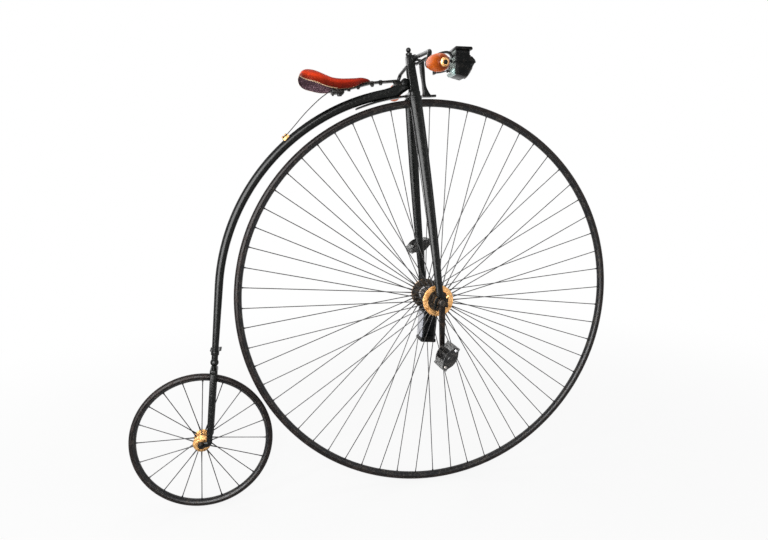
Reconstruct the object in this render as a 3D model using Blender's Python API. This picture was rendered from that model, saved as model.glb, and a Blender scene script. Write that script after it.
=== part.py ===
"""Penny farthing bicycle: a 52-inch ordinary with direct cranks, spoon brake, headlamp and hub lamp.

Metres, +Z up, +X forward, +Y to the rider's left. Pieces are placed from the ground under the front axle,
and the empty "bicycle" then puts the rider's place on the saddle at the origin.
"""
import math

import bmesh
import bpy
from mathutils import Matrix, Vector

for old in list(bpy.data.objects):
    bpy.data.objects.remove(old, do_unlink=True)

# Fit between pieces
SEAT_GAP = 0.0003           # between touching pieces
RUNNING_GAP = 0.006         # between the tyres and what passes round them
THRUST_GAP = 0.0015         # end play of what turns on an axle

# Wheels
WHEEL_RADIUS = 0.66         # front, a 52-inch wheel
TYRE_SECTION = 0.0115       # half the width of the solid tyre
RIM_WALL = 0.0022
RIM_REACH = math.radians(72)    # how far the crescent rim comes round the tyre's section
SPOKE_COUNT = 60
SPOKE_RADIUS = 0.0015
SPOKE_RIM_OFFSET = 0.003    # half the stagger of the spoke heads in the rim
SPOKE_PHASE = math.radians(0.4)
REAR_RADIUS = 0.2254
REAR_TYRE_SECTION = 0.0105
REAR_SPOKE_COUNT = 20
REAR_SPOKE_PHASE = math.radians(14.6)
WHEELBASE_GAP = 0.0072      # air between the two tyres, beyond what the smaller wheel's drop leaves
SECTION_POINTS = 10         # points round a tyre's section
WHEEL_STEPS = 60
REAR_STEPS = 32

# Front hub, from the middle plane outwards
FLANGE_OFFSET = 0.0717
FLANGE_WIDTH = 0.0066
FLANGE_RADIUS = 0.052
FLANGE_FACE_INNER = 0.034   # inner edge of the flange's bright outer ring
FLANGE_DISH = 0.0026        # depth of the dished middle
BARREL_RADIUS = 0.022
JOURNAL_RADIUS = 0.011
BEARING_RADIUS = 0.0235
BEARING_WIDTH = 0.020
LEG_OFFSET_HUB = 0.097      # leg's middle at the hub
CRANK_LENGTH = 0.163
CRANK_THICKNESS = 0.0095
CRANK_BOSS_RADIUS = 0.0155
CRANK_BOSS_WIDTH = 0.0145
CRANK_WIDTH_TOP = 0.021
CRANK_WIDTH_TIP = 0.0140
PEDAL_PIN_RADIUS = 0.0055
PEDAL_TUBE_WALL = 0.0035
PEDAL_LENGTH = 0.079        # over the end plates
PEDAL_PLATE = 0.0025
PEDAL_ROD_SPACING = 0.062
PEDAL_ROD_RADIUS = 0.0032
PEDAL_ROD_HEAD = 0.0052
PEDAL_RUBBER = 0.0230       # side of the rubber's square section
PEDAL_TILT_R = math.radians(55.9)    # how far the front rubber stands over the rear one
PEDAL_TILT_L = math.radians(24.4)

# Steering
RAKE = math.radians(5.4)
CROWN_THICKNESS = 0.015
CROWN_HALF_DEPTH = 0.0175
LEG_OFFSET_CROWN = 0.029
LEG_TOP = (0.0195, 0.0092)      # half depth, half thickness
LEG_BOTTOM = (0.0118, 0.0068)
LEG_STATIONS = 7
HEAD_TOP_RISE = 0.1375          # over the front tyre
HEAD_HALF_WIDTH = 0.015
HEAD_REAR = 0.0112
HEAD_FRONT_TOP = 0.0125
HEAD_FRONT_BOTTOM = 0.0205
HEAD_OPENING_RADIUS = 0.0105
HEAD_FLOOR = 0.004
HEAD_ROOF = 0.030               # solid top that carries bolt and bar
SPINDLE_RADIUS = 0.0065
CONE_RADIUS = 0.0088
CONE_HEIGHT = 0.008
BOLT_RADIUS = 0.0048
BOLT_COLLAR = (0.0105, 0.006)   # radius, height
BOLT_BALL = 0.0082
BOLT_SHANK = 0.003              # bare shank between collar and ball
BAR_RADIUS = 0.0064
BAR_FORWARD = 0.0138            # bar's axis ahead of the steering axis
BAR_DROP_BELOW_TOP = 0.0115
BAR_REACH = 0.182               # where the bar turns down
BAR_FALL = 0.0150               # how much lower it is there than in the head
BAR_BEND = 0.014
BAR_DROP = 0.0370
BAR_SETBACK = 0.0150            # how far the drop leads back
GRIP_START = 0.203
GRIP_LENGTH = 0.103
GRIP_DROOP = math.radians(10.0)
GRIP_SWEEP = math.radians(6.5)  # forward, towards the ends
GRIP_RADIUS = 0.0252
FERRULE_LENGTH = 0.010
FERRULE_RADIUS = 0.0150
GRIP_CAP_RADIUS = 0.0105
GRIP_CAP_DEPTH = 0.0045

# Backbone
NECK_ANGLE = math.radians(103)      # round the front axle, from straight ahead
TAIL_ANGLE = math.radians(174)
BACKBONE_NECK_RADIUS = 0.0155
BACKBONE_TAIL_RADIUS = 0.0130
BACKBONE_END_RADIUS = 0.0102
NECK_CLEARANCE = 0.0140             # under the tube, over the tyre
TAIL_CLEARANCE = 0.0330
BACKBONE_STEPS = 16
NECK_BOLT_RADIUS = 0.0085
NECK_BOLT_REACH = 0.0120
NECK_BOLT_BEHIND = 0.0265           # behind the steering axis

# Rear fork
BALL_RADIUS = 0.0132
STEM_RADIUS = 0.0085
STEM_LENGTH = 0.0345                # from the backbone's tip to the crown's middle
REAR_CROWN_THICKNESS = 0.013
REAR_CROWN_HALF_DEPTH = 0.012
REAR_BLADE_OFFSET_TOP = 0.0245
REAR_BLADE_OFFSET_AXLE = 0.0385
REAR_BLADE_TOP = (0.0108, 0.0052)
REAR_BLADE_BOTTOM = (0.0088, 0.0040)
REAR_BLADE_BEND = 0.014             # where the blade's foot turns back to the axle
REAR_BLADE_STEPS = 3
REAR_EYE_RADIUS = 0.0112
REAR_EYE_WIDTH = 0.008
REAR_AXLE_RADIUS = 0.0055
REAR_NUT = (0.0092, 0.009)
REAR_FLANGE_RADIUS = 0.028
REAR_FLANGE_OFFSET = 0.023
REAR_FLANGE_WIDTH = 0.005
REAR_BARREL_RADIUS = 0.0135

# Saddle
SADDLE_RISE = 0.0550                # dip of the saddle over the front tyre's top
RIDER_BEHIND = 0.330                # the rider's place behind the front axle
SADDLE_BEHIND = 0.100               # from the rider's place back to the saddle's end
SADDLE_LENGTH = 0.225
SADDLE_WIDTH = 0.168
SADDLE_CANTLE = 0.0205              # the ridge's highest point over the dip
SADDLE_SKIRT = 0.0360               # the edge's lowest point under the dip
SADDLE_THICKNESS = 0.0055
SADDLE_PLATE = 0.0030               # thickness of the iron frame
SADDLE_PLATE_GAP = 0.0030           # air between leather and iron
SPRING_SEAT = (0.0400, 0.0405)      # behind the steering axis, over the crown
SPRING_THICKNESS = 0.0062
SPRING_WIDTH = 0.026
SPRING_BOLT_RADIUS = 0.0065
SPRING_PAD = (0.023, 0.013)         # length, depth
CLAMP_SIZE = (0.040, 0.040, 0.024)
TAIL_LEAF_THICKNESS = 0.0026
TAIL_LEAF_WIDTH = 0.014
CLIP_ANGLE = math.radians(130.5)        # round the front axle
CLIP_LENGTH = 0.022                 # along the backbone
CLIP_WIDTH = 0.020
CLIP_WALL = 0.0045                  # its thickness over the backbone's ridge

# Step
STEP_RISE = 0.0230                  # over the backbone's tip, along the tube
STEP_PLATE = (0.036, 0.044, 0.0045)
STEP_REACH = 0.006
STEP_BAND = (0.0022, 0.013)         # wall, height

# Brake, lamps, guard
SPOON_GAP = 0.0055                  # air between spoon and tyre at rest
SPOON_THICKNESS = 0.0045
SPOON_LENGTH = 0.046
SPOON_WIDTH = 0.024
BRAKE_PLATE_THICKNESS = 0.0150
BRAKE_PLATE_FORWARD = 0.0395        # ahead of the steering axis, at its top
BRAKE_LEVER_RADIUS = 0.0042
GUARD_THICKNESS = 0.0018
GUARD_WIDTH = 0.022
GUARD_END = math.radians(112)
TONGUE_REACH = 0.085                # lamp bracket's upright, ahead of the head's top
LAMP_REACH = 0.1340                 # lamp's back plate, ahead of the head's top
LAMP_LENGTH = 0.0800                # to the tip of its front
LAMP_WIDTH = 0.070
LAMP_HEIGHT = 0.0960                # to the cap's top
LAMP_CAP_OVER_HEAD = 0.0285         # cap's top over the head's
LAMP_PLATE = 0.004                  # the bracket's plate behind the lamp
LENS_RADIUS = 0.0235
LENS_DEPTH = 0.0075
HUB_LAMP_SIZE = (0.054, 0.070, 0.118)
HUB_LAMP_SETBACK = 0.0070           # behind the axle
HUB_LAMP_TILT = math.radians(5.5)
HUB_LAMP_DROP = 0.034               # top of the box under the axle
COLLAR_WALL = 0.004
COLLAR_WIDTH = 0.026

# Places that follow from the sizes above
REAR_X = -(math.sqrt((WHEEL_RADIUS + REAR_RADIUS + WHEELBASE_GAP) ** 2 - (WHEEL_RADIUS - REAR_RADIUS) ** 2))
SEAT_HEIGHT = 2 * WHEEL_RADIUS + SADDLE_RISE
CROWN_BOTTOM = WHEEL_RADIUS + RUNNING_GAP
CROWN_TOP = CROWN_BOTTOM + CROWN_THICKNESS
HEAD_TOP = WHEEL_RADIUS + HEAD_TOP_RISE
BAR_HEIGHT = HEAD_TOP - BAR_DROP_BELOW_TOP
BEARING_INNER = LEG_OFFSET_HUB - BEARING_WIDTH / 2
BEARING_OUTER = LEG_OFFSET_HUB + BEARING_WIDTH / 2
CRANK_INNER = BEARING_OUTER + THRUST_GAP
CRANK_OUTER = CRANK_INNER + CRANK_BOSS_WIDTH
PEDAL_INNER = CRANK_OUTER + THRUST_GAP
PEDAL_OUTER = PEDAL_INNER + PEDAL_LENGTH
FRONT_AXLE = Vector((0, 0, WHEEL_RADIUS))
REAR_AXLE = Vector((REAR_X, 0, REAR_RADIUS))

FINISHES = {
    # finish: colour, roughness, metallic
    "enamel": ((0.012, 0.012, 0.011), 0.22, 0.0),
    "tyre": ((0.022, 0.018, 0.018), 0.75, 0.0),
    "spoke_steel": ((0.06, 0.06, 0.065), 0.45, 0.8),
    "steel": ((0.32, 0.32, 0.33), 0.35, 1.0),
    "brass": ((0.76, 0.46, 0.18), 0.30, 1.0),
    "leather": ((0.52, 0.075, 0.022), 0.42, 0.0),
    "wood": ((0.66, 0.19, 0.05), 0.35, 0.0),
    "rubber": ((0.13, 0.13, 0.13), 0.80, 0.0),
    "glass": ((0.80, 0.88, 0.86), 0.05, 0.0),
}


def finish(name, kind):
    colour, roughness, metallic = FINISHES[kind]
    made = bpy.data.materials.new(f"{name}_{kind}")
    made.use_nodes = True
    shader = made.node_tree.nodes["Principled BSDF"]
    shader.inputs["Base Color"].default_value = (*colour, 1)
    shader.inputs["Roughness"].default_value = roughness
    shader.inputs["Metallic"].default_value = metallic
    return made


placed = {}


def empty(name, matrix, parent=None):
    """An empty whose matrix is given from the ground, as every piece's is."""
    made = bpy.data.objects.new(name, None)
    bpy.context.collection.objects.link(made)
    placed[made] = matrix
    if parent:
        made.parent = parent
        made.matrix_parent_inverse = placed[parent].inverted()
    made.matrix_basis = matrix
    return made


def piece(name, mesh_bm, kind, parent, matrix=None, sharp=35):
    """A mesh made into a named object under the empty that moves it."""
    bmesh.ops.recalc_face_normals(mesh_bm, faces=mesh_bm.faces)
    mesh = bpy.data.meshes.new(name)
    mesh_bm.to_mesh(mesh)
    mesh_bm.free()
    mesh.shade_smooth()
    mesh.set_sharp_from_angle(angle=math.radians(sharp))
    made = bpy.data.objects.new(name, mesh)
    bpy.context.collection.objects.link(made)
    if kind:
        mesh.materials.append(finish(name, kind))
    made.parent = parent
    made.matrix_parent_inverse = placed[parent].inverted()
    made.matrix_basis = matrix or Matrix.Identity(4)
    return made


def join(target, operation, *others):
    """Unites or cuts the target with each other object, which then only guides."""
    for other in others:
        step = target.modifiers.new(other.name, "BOOLEAN")
        step.operation = operation
        step.solver = "EXACT"
        step.object = other
        other.hide_render = True
        other.display_type = "WIRE"
    return target


def turned(outline, steps, closed=True):
    """An outline of (radius, height) points turned about Z. An open one starts and ends on the axis."""
    bm = bmesh.new()
    verts = [bm.verts.new((radius, 0, height)) for radius, height in outline]
    pairs = list(zip(verts, verts[1:] + (verts[:1] if closed else [])))
    edges = [bm.edges.new(pair) for pair in pairs]
    bmesh.ops.spin(bm, geom=verts + edges, cent=(0, 0, 0), axis=(0, 0, 1), angle=2 * math.pi,
                   steps=steps, use_merge=True)
    bmesh.ops.remove_doubles(bm, verts=bm.verts, dist=1e-6)
    return bm


def prism(outline, near, far):
    """An outline in X and Z, extruded along Y from near to far."""
    bm = bmesh.new()
    face = bm.faces.new([bm.verts.new((x, near, z)) for x, z in outline])
    grown = bmesh.ops.extrude_face_region(bm, geom=[face])
    moved = [v for v in grown["geom"] if isinstance(v, bmesh.types.BMVert)]
    bmesh.ops.translate(bm, verts=moved, vec=(0, far - near, 0))
    return bm


def loft(rings):
    """Rings of as many points each, bridged in turn and capped at both ends."""
    bm = bmesh.new()
    loops = [[bm.verts.new(point) for point in ring] for ring in rings]
    count = len(loops[0])
    for first, second in zip(loops, loops[1:]):
        for i in range(count):
            j = (i + 1) % count
            bm.faces.new((first[i], first[j], second[j], second[i]))
    bm.faces.new(loops[0])
    bm.faces.new(loops[-1])
    return bm


def oval(centre, side, up, half_side, half_up, points=14):
    """A ring of points round a centre, in the plane of two directions."""
    ring = []
    for i in range(points):
        turn = 2 * math.pi * i / points
        ring.append(centre + side * (half_side * math.cos(turn)) + up * (half_up * math.sin(turn)))
    return ring


def pipe(path, radii, level=Vector((0, 1, 0)), points=10, flat=1.0):
    """A tube along a path. The level direction lies across the path, and flat scales it there."""
    rings = []
    for i, here in enumerate(path):
        ahead = path[min(i + 1, len(path) - 1)] - path[max(i - 1, 0)]
        ahead.normalize()
        side = (level - ahead * level.dot(ahead)).normalized()
        radius = radii[i] if isinstance(radii, (list, tuple)) else radii
        rings.append(oval(here, side, ahead.cross(side), radius * flat, radius, points))
    return loft(rings)


def strip(path, width, thickness, level=Vector((0, 1, 0))):
    """A flat bar along a path, its width lying along the level direction."""
    rings = []
    for i, here in enumerate(path):
        ahead = path[min(i + 1, len(path) - 1)] - path[max(i - 1, 0)]
        ahead.normalize()
        side = (level - ahead * level.dot(ahead)).normalized()
        up = ahead.cross(side)
        w = (width[i] if isinstance(width, (list, tuple)) else width) / 2
        t = (thickness[i] if isinstance(thickness, (list, tuple)) else thickness) / 2
        rings.append([here + side * w + up * t, here - side * w + up * t,
                      here - side * w - up * t, here + side * w - up * t])
    return loft(rings)


def bend(points, radius, steps=4):
    """The path through the points with each inner corner rounded to a radius."""
    path = [points[0]]
    for before, corner, after in zip(points, points[1:], points[2:]):
        back = (before - corner).normalized()
        on = (after - corner).normalized()
        half = back.angle(on) / 2
        reach = min(radius / math.tan(half), (before - corner).length * 0.49, (after - corner).length * 0.49)
        true_radius = reach * math.tan(half)
        middle = corner + (back + on).normalized() * (true_radius / math.sin(half))
        start = corner + back * reach - middle
        end = corner + on * reach - middle
        for i in range(steps + 1):
            t = i / steps
            path.append(middle + (start * (1 - t) + end * t).normalized() * true_radius)
    path.append(points[-1])
    return path


def cylinder(radius, length, steps=16, bevel=0.0):
    """A round bar about Z, from 0 to its length, with its rims bevelled."""
    outline = [(0, 0), (radius - bevel, 0), (radius, bevel), (radius, length - bevel),
               (radius - bevel, length), (0, length)]
    if not bevel:
        outline = [(0, 0), (radius, 0), (radius, length), (0, length)]
    return turned(outline, steps, closed=False)


def box(low, high, bevel=0.0, segments=1):
    """A block between two corners, its edges bevelled."""
    bm = bmesh.new()
    bmesh.ops.create_cube(bm, size=1.0)
    size = Vector(high) - Vector(low)
    bmesh.ops.scale(bm, vec=size, verts=bm.verts)
    bmesh.ops.translate(bm, vec=(Vector(high) + Vector(low)) / 2, verts=bm.verts)
    if bevel:
        bmesh.ops.bevel(bm, geom=bm.edges[:], offset=bevel, segments=segments, affect="EDGES")
    return bm


def at(x=0.0, y=0.0, z=0.0, turn=0.0, tilt=0.0):
    """A place, with a turn about Y and a tilt that lays Z along -Y or +Y."""
    return Matrix.Translation((x, y, z)) @ Matrix.Rotation(turn, 4, "Y") @ Matrix.Rotation(tilt, 4, "X")


LAY_LEFT = math.radians(-90)        # Z to +Y
LAY_RIGHT = math.radians(90)        # Z to -Y
STEER = Matrix.Translation(FRONT_AXLE) @ Matrix.Rotation(-RAKE, 4, "Y")


def raked(forward, side, up):
    """From the steering frame (up along the steering axis, from the axle) to the ground's."""
    return STEER @ Vector((forward, side, up))


bicycle = bpy.data.objects.new("bicycle", None)
bpy.context.collection.objects.link(bicycle)
bicycle.location = (RIDER_BEHIND, 0, -SEAT_HEIGHT)
placed[bicycle] = Matrix.Identity(4)
steering = empty("steering_axis", STEER, bicycle)
front_axle = empty("front_axle_axis", at(z=WHEEL_RADIUS), steering)
rear_axle = empty("rear_axle_axis", at(x=REAR_X, z=REAR_RADIUS), bicycle)
hub_lamp = empty("hub_lamp_axis", at(z=WHEEL_RADIUS), steering)


# The wheels: a round solid tyre held in a crescent rim, and direct spokes from the rim to both flanges.
def tyre(name, radius, section, steps, parent, place):
    middle = radius - section
    outline = []
    for i in range(SECTION_POINTS):
        turn = 2 * math.pi * i / SECTION_POINTS + math.pi
        outline.append((middle + section * math.cos(turn), section * math.sin(turn)))
    return piece(name, turned(outline, steps), "tyre", parent, place @ at(tilt=LAY_LEFT))


def spoked_rim(name, radius, section, steps, count, phase, flange_offset, flange_radius, parent, place):
    middle = radius - section
    bed = section + SEAT_GAP * 1.2
    outline = []
    arc = [-RIM_REACH, -RIM_REACH / 2, 0, RIM_REACH / 2, RIM_REACH]
    for turn in arc:
        outline.append((middle - bed * math.cos(turn), bed * math.sin(turn)))
    for turn in reversed(arc):
        wall = bed + RIM_WALL * (1 if abs(turn) < RIM_REACH else 0.55)
        outline.append((middle - wall * math.cos(turn), wall * math.sin(turn)))
    rim = piece(name, turned(outline, steps), "spoke_steel", parent, place @ at(tilt=LAY_LEFT))
    spokes = bmesh.new()
    rim_radius = middle - bed - RIM_WALL / 2
    for i in range(count):
        side = 1 if i % 2 else -1
        turn = phase + 2 * math.pi * i / count
        out = Vector((math.cos(turn), 0, math.sin(turn)))
        start = out * (flange_radius + SEAT_GAP * 1.8) + Vector((0, side * flange_offset, 0))
        end = out * rim_radius + Vector((0, side * SPOKE_RIM_OFFSET, 0))
        along = (end - start).normalized()
        across = along.cross(out).normalized()
        up = along.cross(across)
        rings = []
        for place_on in (start, end):
            rings.append([spokes.verts.new(p) for p in oval(place_on, across, up, SPOKE_RADIUS, SPOKE_RADIUS, 5)])
        for j in range(5):
            k = (j + 1) % 5
            spokes.faces.new((rings[0][j], rings[0][k], rings[1][k], rings[1][j]))
        spokes.faces.new(rings[0])
        spokes.faces.new(rings[1])
    guide = piece(name + "_spokes_guide", spokes, None, parent, place)
    return join(rim, "UNION", guide)


front_place = at(z=WHEEL_RADIUS)
rear_place = at(x=REAR_X, z=REAR_RADIUS)
tyre("front_tyre", WHEEL_RADIUS, TYRE_SECTION, WHEEL_STEPS, front_axle, front_place)
tyre("rear_tyre", REAR_RADIUS, REAR_TYRE_SECTION, REAR_STEPS, rear_axle, rear_place)
spoked_rim("front_rim_and_spokes", WHEEL_RADIUS, TYRE_SECTION, WHEEL_STEPS, SPOKE_COUNT, SPOKE_PHASE,
           FLANGE_OFFSET, FLANGE_RADIUS, front_axle, front_place)
spoked_rim("rear_rim_and_spokes", REAR_RADIUS, REAR_TYRE_SECTION, REAR_STEPS, REAR_SPOKE_COUNT,
           REAR_SPOKE_PHASE, REAR_FLANGE_OFFSET, REAR_FLANGE_RADIUS, rear_axle, rear_place)

# The front hub: a steel barrel that runs on as the axle's journals into both cranks.
half = FLANGE_OFFSET + FLANGE_WIDTH / 2
shoulder = FLANGE_OFFSET - FLANGE_WIDTH / 2 - SEAT_GAP
crank_seat = CRANK_OUTER - 0.002
outline = [
    (0, -crank_seat), (JOURNAL_RADIUS - 0.002, -crank_seat), (JOURNAL_RADIUS, -crank_seat + 0.002),
    (JOURNAL_RADIUS, -half - 0.004), (JOURNAL_RADIUS + 0.005, -half), (JOURNAL_RADIUS + 0.005, -shoulder),
    (BARREL_RADIUS + 0.003, -shoulder), (BARREL_RADIUS, -shoulder + 0.006),
]
outline += [(radius, -height) for radius, height in reversed(outline)]
piece("front_hub", turned(outline, 16, closed=False), "steel", front_axle, front_place @ at(tilt=LAY_LEFT))

# Each flange is a brass disc, dished round the barrel, that the spokes screw into all round its edge.
for label, side, lay in (("R", -1, LAY_RIGHT), ("L", 1, LAY_LEFT)):
    bore = JOURNAL_RADIUS + 0.005 + SEAT_GAP
    inner = FLANGE_OFFSET - FLANGE_WIDTH / 2
    outer = FLANGE_OFFSET + FLANGE_WIDTH / 2
    outline = [
        (bore, inner), (FLANGE_RADIUS - 0.001, inner), (FLANGE_RADIUS, inner + 0.001),
        (FLANGE_RADIUS, outer - 0.001), (FLANGE_RADIUS - 0.001, outer), (FLANGE_FACE_INNER, outer),
        (FLANGE_FACE_INNER - 0.002, outer - FLANGE_DISH), (bore, outer - FLANGE_DISH),
    ]
    piece(f"hub_flange_{label}", turned(outline, 24), "brass", front_axle, front_place @ at(tilt=lay))

# The cranks hang from square-ended bosses, the right one down and the left one up, with their pedal pins.
pedal_axis = {}
for label, side, lay, down in (("R", -1, LAY_RIGHT, 1), ("L", 1, LAY_LEFT, -1)):
    pin = Vector((0, 0, WHEEL_RADIUS - down * CRANK_LENGTH))
    pedal_axis[label] = empty(f"pedal_{label}_axis", at(z=pin.z), front_axle)
    tip = CRANK_LENGTH + CRANK_WIDTH_TIP / 2
    near = side * (CRANK_INNER + (CRANK_BOSS_WIDTH - CRANK_THICKNESS) / 2)
    far = side * (CRANK_INNER + (CRANK_BOSS_WIDTH + CRANK_THICKNESS) / 2)
    z = [-down * value for value in (0, tip - 0.004, tip)]
    wide, narrow = CRANK_WIDTH_TOP / 2, CRANK_WIDTH_TIP / 2
    arm = piece(f"crank_{label}", prism([(-wide, z[0]), (wide, z[0]), (narrow, z[1]), (narrow - 0.004, z[2]),
                                         (-narrow + 0.004, z[2]), (-narrow, z[1])], near, far),
                "enamel", front_axle, front_place)
    boss = piece(f"crank_{label}_boss_guide", cylinder(CRANK_BOSS_RADIUS, CRANK_BOSS_WIDTH, 18, 0.001), None,
                 front_axle, front_place @ at(y=side * CRANK_INNER, tilt=lay))
    stud = piece(f"crank_{label}_pin_guide", cylinder(PEDAL_PIN_RADIUS, PEDAL_OUTER - 0.004 - abs(near) - 0.002, 14),
                 None, front_axle, at(y=near + side * 0.002, z=pin.z, tilt=lay))
    hole = piece(f"crank_{label}_bore_guide", cylinder(JOURNAL_RADIUS + SEAT_GAP, crank_seat - CRANK_INNER + 0.0053, 18),
                 None, front_axle, front_place @ at(y=side * (CRANK_INNER - 0.005), tilt=lay))
    join(arm, "UNION", boss, stud)
    join(arm, "DIFFERENCE", hole)

# Each pedal: a tube on the crank's pin, two lozenge end plates, and two rods that carry the rubbers.
for label, side, lay, tilt in (("R", -1, LAY_RIGHT, PEDAL_TILT_R), ("L", 1, LAY_LEFT, PEDAL_TILT_L)):
    parent = pedal_axis[label]
    place = placed[parent]
    tube_radius = PEDAL_PIN_RADIUS + SEAT_GAP + PEDAL_TUBE_WALL
    spin = Matrix.Rotation(-tilt, 4, "Y")
    reach = PEDAL_ROD_SPACING / 2
    plate_outline = []
    for i in range(24):
        turn = 2 * math.pi * i / 24
        if abs(math.cos(turn)) > 0.62:
            centre = math.copysign(reach, math.cos(turn))
            plate_outline.append((centre + 0.008 * math.cos(turn), 0.008 * math.sin(turn)))
        else:
            plate_outline.append((0.017 * math.cos(turn), 0.0165 * math.sin(turn)))
    inner_plate = piece(f"pedal_{label}_inner_plate_guide",
                        prism(plate_outline, side * PEDAL_INNER, side * (PEDAL_INNER + PEDAL_PLATE)),
                        None, parent, place @ spin)
    cage = piece(f"pedal_{label}_cage",
                 prism(plate_outline, side * (PEDAL_OUTER - PEDAL_PLATE), side * PEDAL_OUTER),
                 "steel", parent, place @ spin)
    tube = piece(f"pedal_{label}_tube_guide", cylinder(tube_radius, PEDAL_LENGTH - 0.001, 14), None, parent,
                 place @ at(y=side * (PEDAL_INNER + 0.0005), tilt=lay))
    bore = piece(f"pedal_{label}_bore_guide",
                 cylinder(PEDAL_PIN_RADIUS + SEAT_GAP, PEDAL_LENGTH - 0.003 + 0.01, 14), None, parent,
                 place @ at(y=side * (PEDAL_INNER - 0.01), tilt=lay))
    rods = []
    for end in (-1, 1):
        rod = piece(f"pedal_{label}_rod_{end}_guide",
                    cylinder(PEDAL_ROD_RADIUS, PEDAL_LENGTH - 0.001, 8), None, parent,
                    place @ spin @ at(x=end * reach, y=side * (PEDAL_INNER + 0.0005), tilt=lay))
        head = piece(f"pedal_{label}_rod_head_{end}_guide",
                     cylinder(PEDAL_ROD_HEAD, 0.004, 8, 0.001), None, parent,
                     place @ spin @ at(x=end * reach, y=side * (PEDAL_OUTER - 0.001), tilt=lay))
        rods += [rod, head]
        side_half = PEDAL_RUBBER / 2
        rubber = piece(f"pedal_{label}_rubber_{'front' if end > 0 else 'rear'}",
                       box((-side_half, PEDAL_INNER + PEDAL_PLATE + SEAT_GAP, -side_half),
                           (side_half, PEDAL_OUTER - PEDAL_PLATE - SEAT_GAP, side_half), 0.003),
                       "rubber", parent,
                       place @ spin @ at(x=end * reach) @ Matrix.Scale(side, 4, (0, 1, 0)))
        hole = piece(f"pedal_{label}_rubber_hole_{end}_guide",
                     cylinder(PEDAL_ROD_RADIUS + SEAT_GAP, PEDAL_LENGTH + 0.02, 8), None, parent,
                     place @ spin @ at(x=end * reach, y=side * (PEDAL_INNER - 0.01), tilt=lay))
        join(rubber, "DIFFERENCE", hole)
    join(cage, "UNION", inner_plate, tube, *rods)
    join(cage, "DIFFERENCE", bore)

# The fork: two oval legs that bow out from the crown to the bearing boxes at the hub.
for label, side, lay in (("R", -1, LAY_RIGHT), ("L", 1, LAY_LEFT)):
    rings = []
    start = BEARING_RADIUS * 0.55
    end = CROWN_BOTTOM - SEAT_GAP
    for i in range(LEG_STATIONS):
        up = start + (end - start) * i / (LEG_STATIONS - 1)
        t = up / CROWN_BOTTOM
        offset = LEG_OFFSET_CROWN + (LEG_OFFSET_HUB - LEG_OFFSET_CROWN) * (1 - t * t)
        depth = LEG_BOTTOM[0] + (LEG_TOP[0] - LEG_BOTTOM[0]) * t
        thick = LEG_BOTTOM[1] + (LEG_TOP[1] - LEG_BOTTOM[1]) * t
        rings.append(oval(Vector((0, side * offset, up)), Vector((1, 0, 0)), Vector((0, 1, 0)), depth, thick, 12))
    leg = piece(f"fork_leg_{label}", loft(rings), "enamel", steering, STEER)
    bearing = piece(f"fork_leg_{label}_bearing_guide", cylinder(BEARING_RADIUS, BEARING_WIDTH, 16, 0.002), None,
                    steering, STEER @ at(y=side * BEARING_INNER, tilt=lay))
    bore = piece(f"fork_leg_{label}_bore_guide", cylinder(JOURNAL_RADIUS + SEAT_GAP * 2, BEARING_WIDTH + 0.01, 16), None,
                 steering, STEER @ at(y=side * (BEARING_INNER - 0.005), tilt=lay))
    join(leg, "UNION", bearing)
    join(leg, "DIFFERENCE", bore)
    turn = math.radians(27)
    oiler_outline = [(0, 0), (0.0045, 0), (0.0045, 0.006), (0.0062, 0.007), (0.0062, 0.012), (0.004, 0.014), (0, 0.014)]
    oiler_at = STEER @ at(y=side * LEG_OFFSET_HUB, turn=math.radians(90) - turn)
    piece(f"bearing_oiler_{label}", turned(oiler_outline, 10, closed=False), "brass", steering,
          oiler_at @ at(z=BEARING_RADIUS + SEAT_GAP))

# Crown and steering head are one forging: a bridge over the tyre and an open box that holds the spindle.
crown_side = LEG_OFFSET_CROWN + LEG_TOP[1]
head = piece("steering_head", box((-CROWN_HALF_DEPTH, -crown_side, CROWN_BOTTOM),
                                  (CROWN_HALF_DEPTH, crown_side, CROWN_TOP), 0.0045, 2),
             "enamel", steering, STEER)
rings = []
for up, front, rear, side in (
    # height, front, rear, half width
    (CROWN_TOP - 0.004, HEAD_FRONT_BOTTOM, HEAD_REAR + 0.003, HEAD_HALF_WIDTH + 0.003),
    (CROWN_TOP + 0.010, HEAD_FRONT_BOTTOM, HEAD_REAR, HEAD_HALF_WIDTH),
    (HEAD_TOP - 0.003, HEAD_FRONT_TOP, HEAD_REAR, HEAD_HALF_WIDTH - 0.002),
    (HEAD_TOP, HEAD_FRONT_TOP - 0.003, HEAD_REAR - 0.003, HEAD_HALF_WIDTH - 0.005),
):
    ring = []
    for corner_x, corner_y in ((front, side), (-rear, side), (-rear, -side), (front, -side)):
        cut = 0.0045 if corner_x > 0 else 0.002
        sx, sy = math.copysign(cut, corner_x), math.copysign(cut, corner_y)
        pair = [Vector((corner_x, corner_y - sy, up)), Vector((corner_x - sx, corner_y, up))]
        ring += pair if corner_x * corner_y > 0 else pair[::-1]
    rings.append(ring)
column = piece("steering_head_column_guide", loft(rings), None, steering, STEER)
lug = piece("steering_head_bar_lug_guide", cylinder(BAR_RADIUS + 0.0045, 2 * HEAD_HALF_WIDTH + 0.006, 20, 0.001), None,
            steering, STEER @ at(x=BAR_FORWARD, y=-HEAD_HALF_WIDTH - 0.003, z=BAR_HEIGHT, tilt=LAY_LEFT))
join(head, "UNION", column, lug)
room_top = HEAD_TOP - HEAD_ROOF
room = piece("steering_head_room_guide",
             cylinder(HEAD_OPENING_RADIUS, room_top - CROWN_TOP - HEAD_FLOOR, 20), None,
             steering, STEER @ at(z=CROWN_TOP + HEAD_FLOOR))
mouth = piece("steering_head_mouth_guide",
              box((-0.05, -HEAD_OPENING_RADIUS, CROWN_TOP + HEAD_FLOOR), (0, HEAD_OPENING_RADIUS, room_top)), None,
              steering, STEER)
NECK_TOP = CROWN_TOP + 0.060
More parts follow.
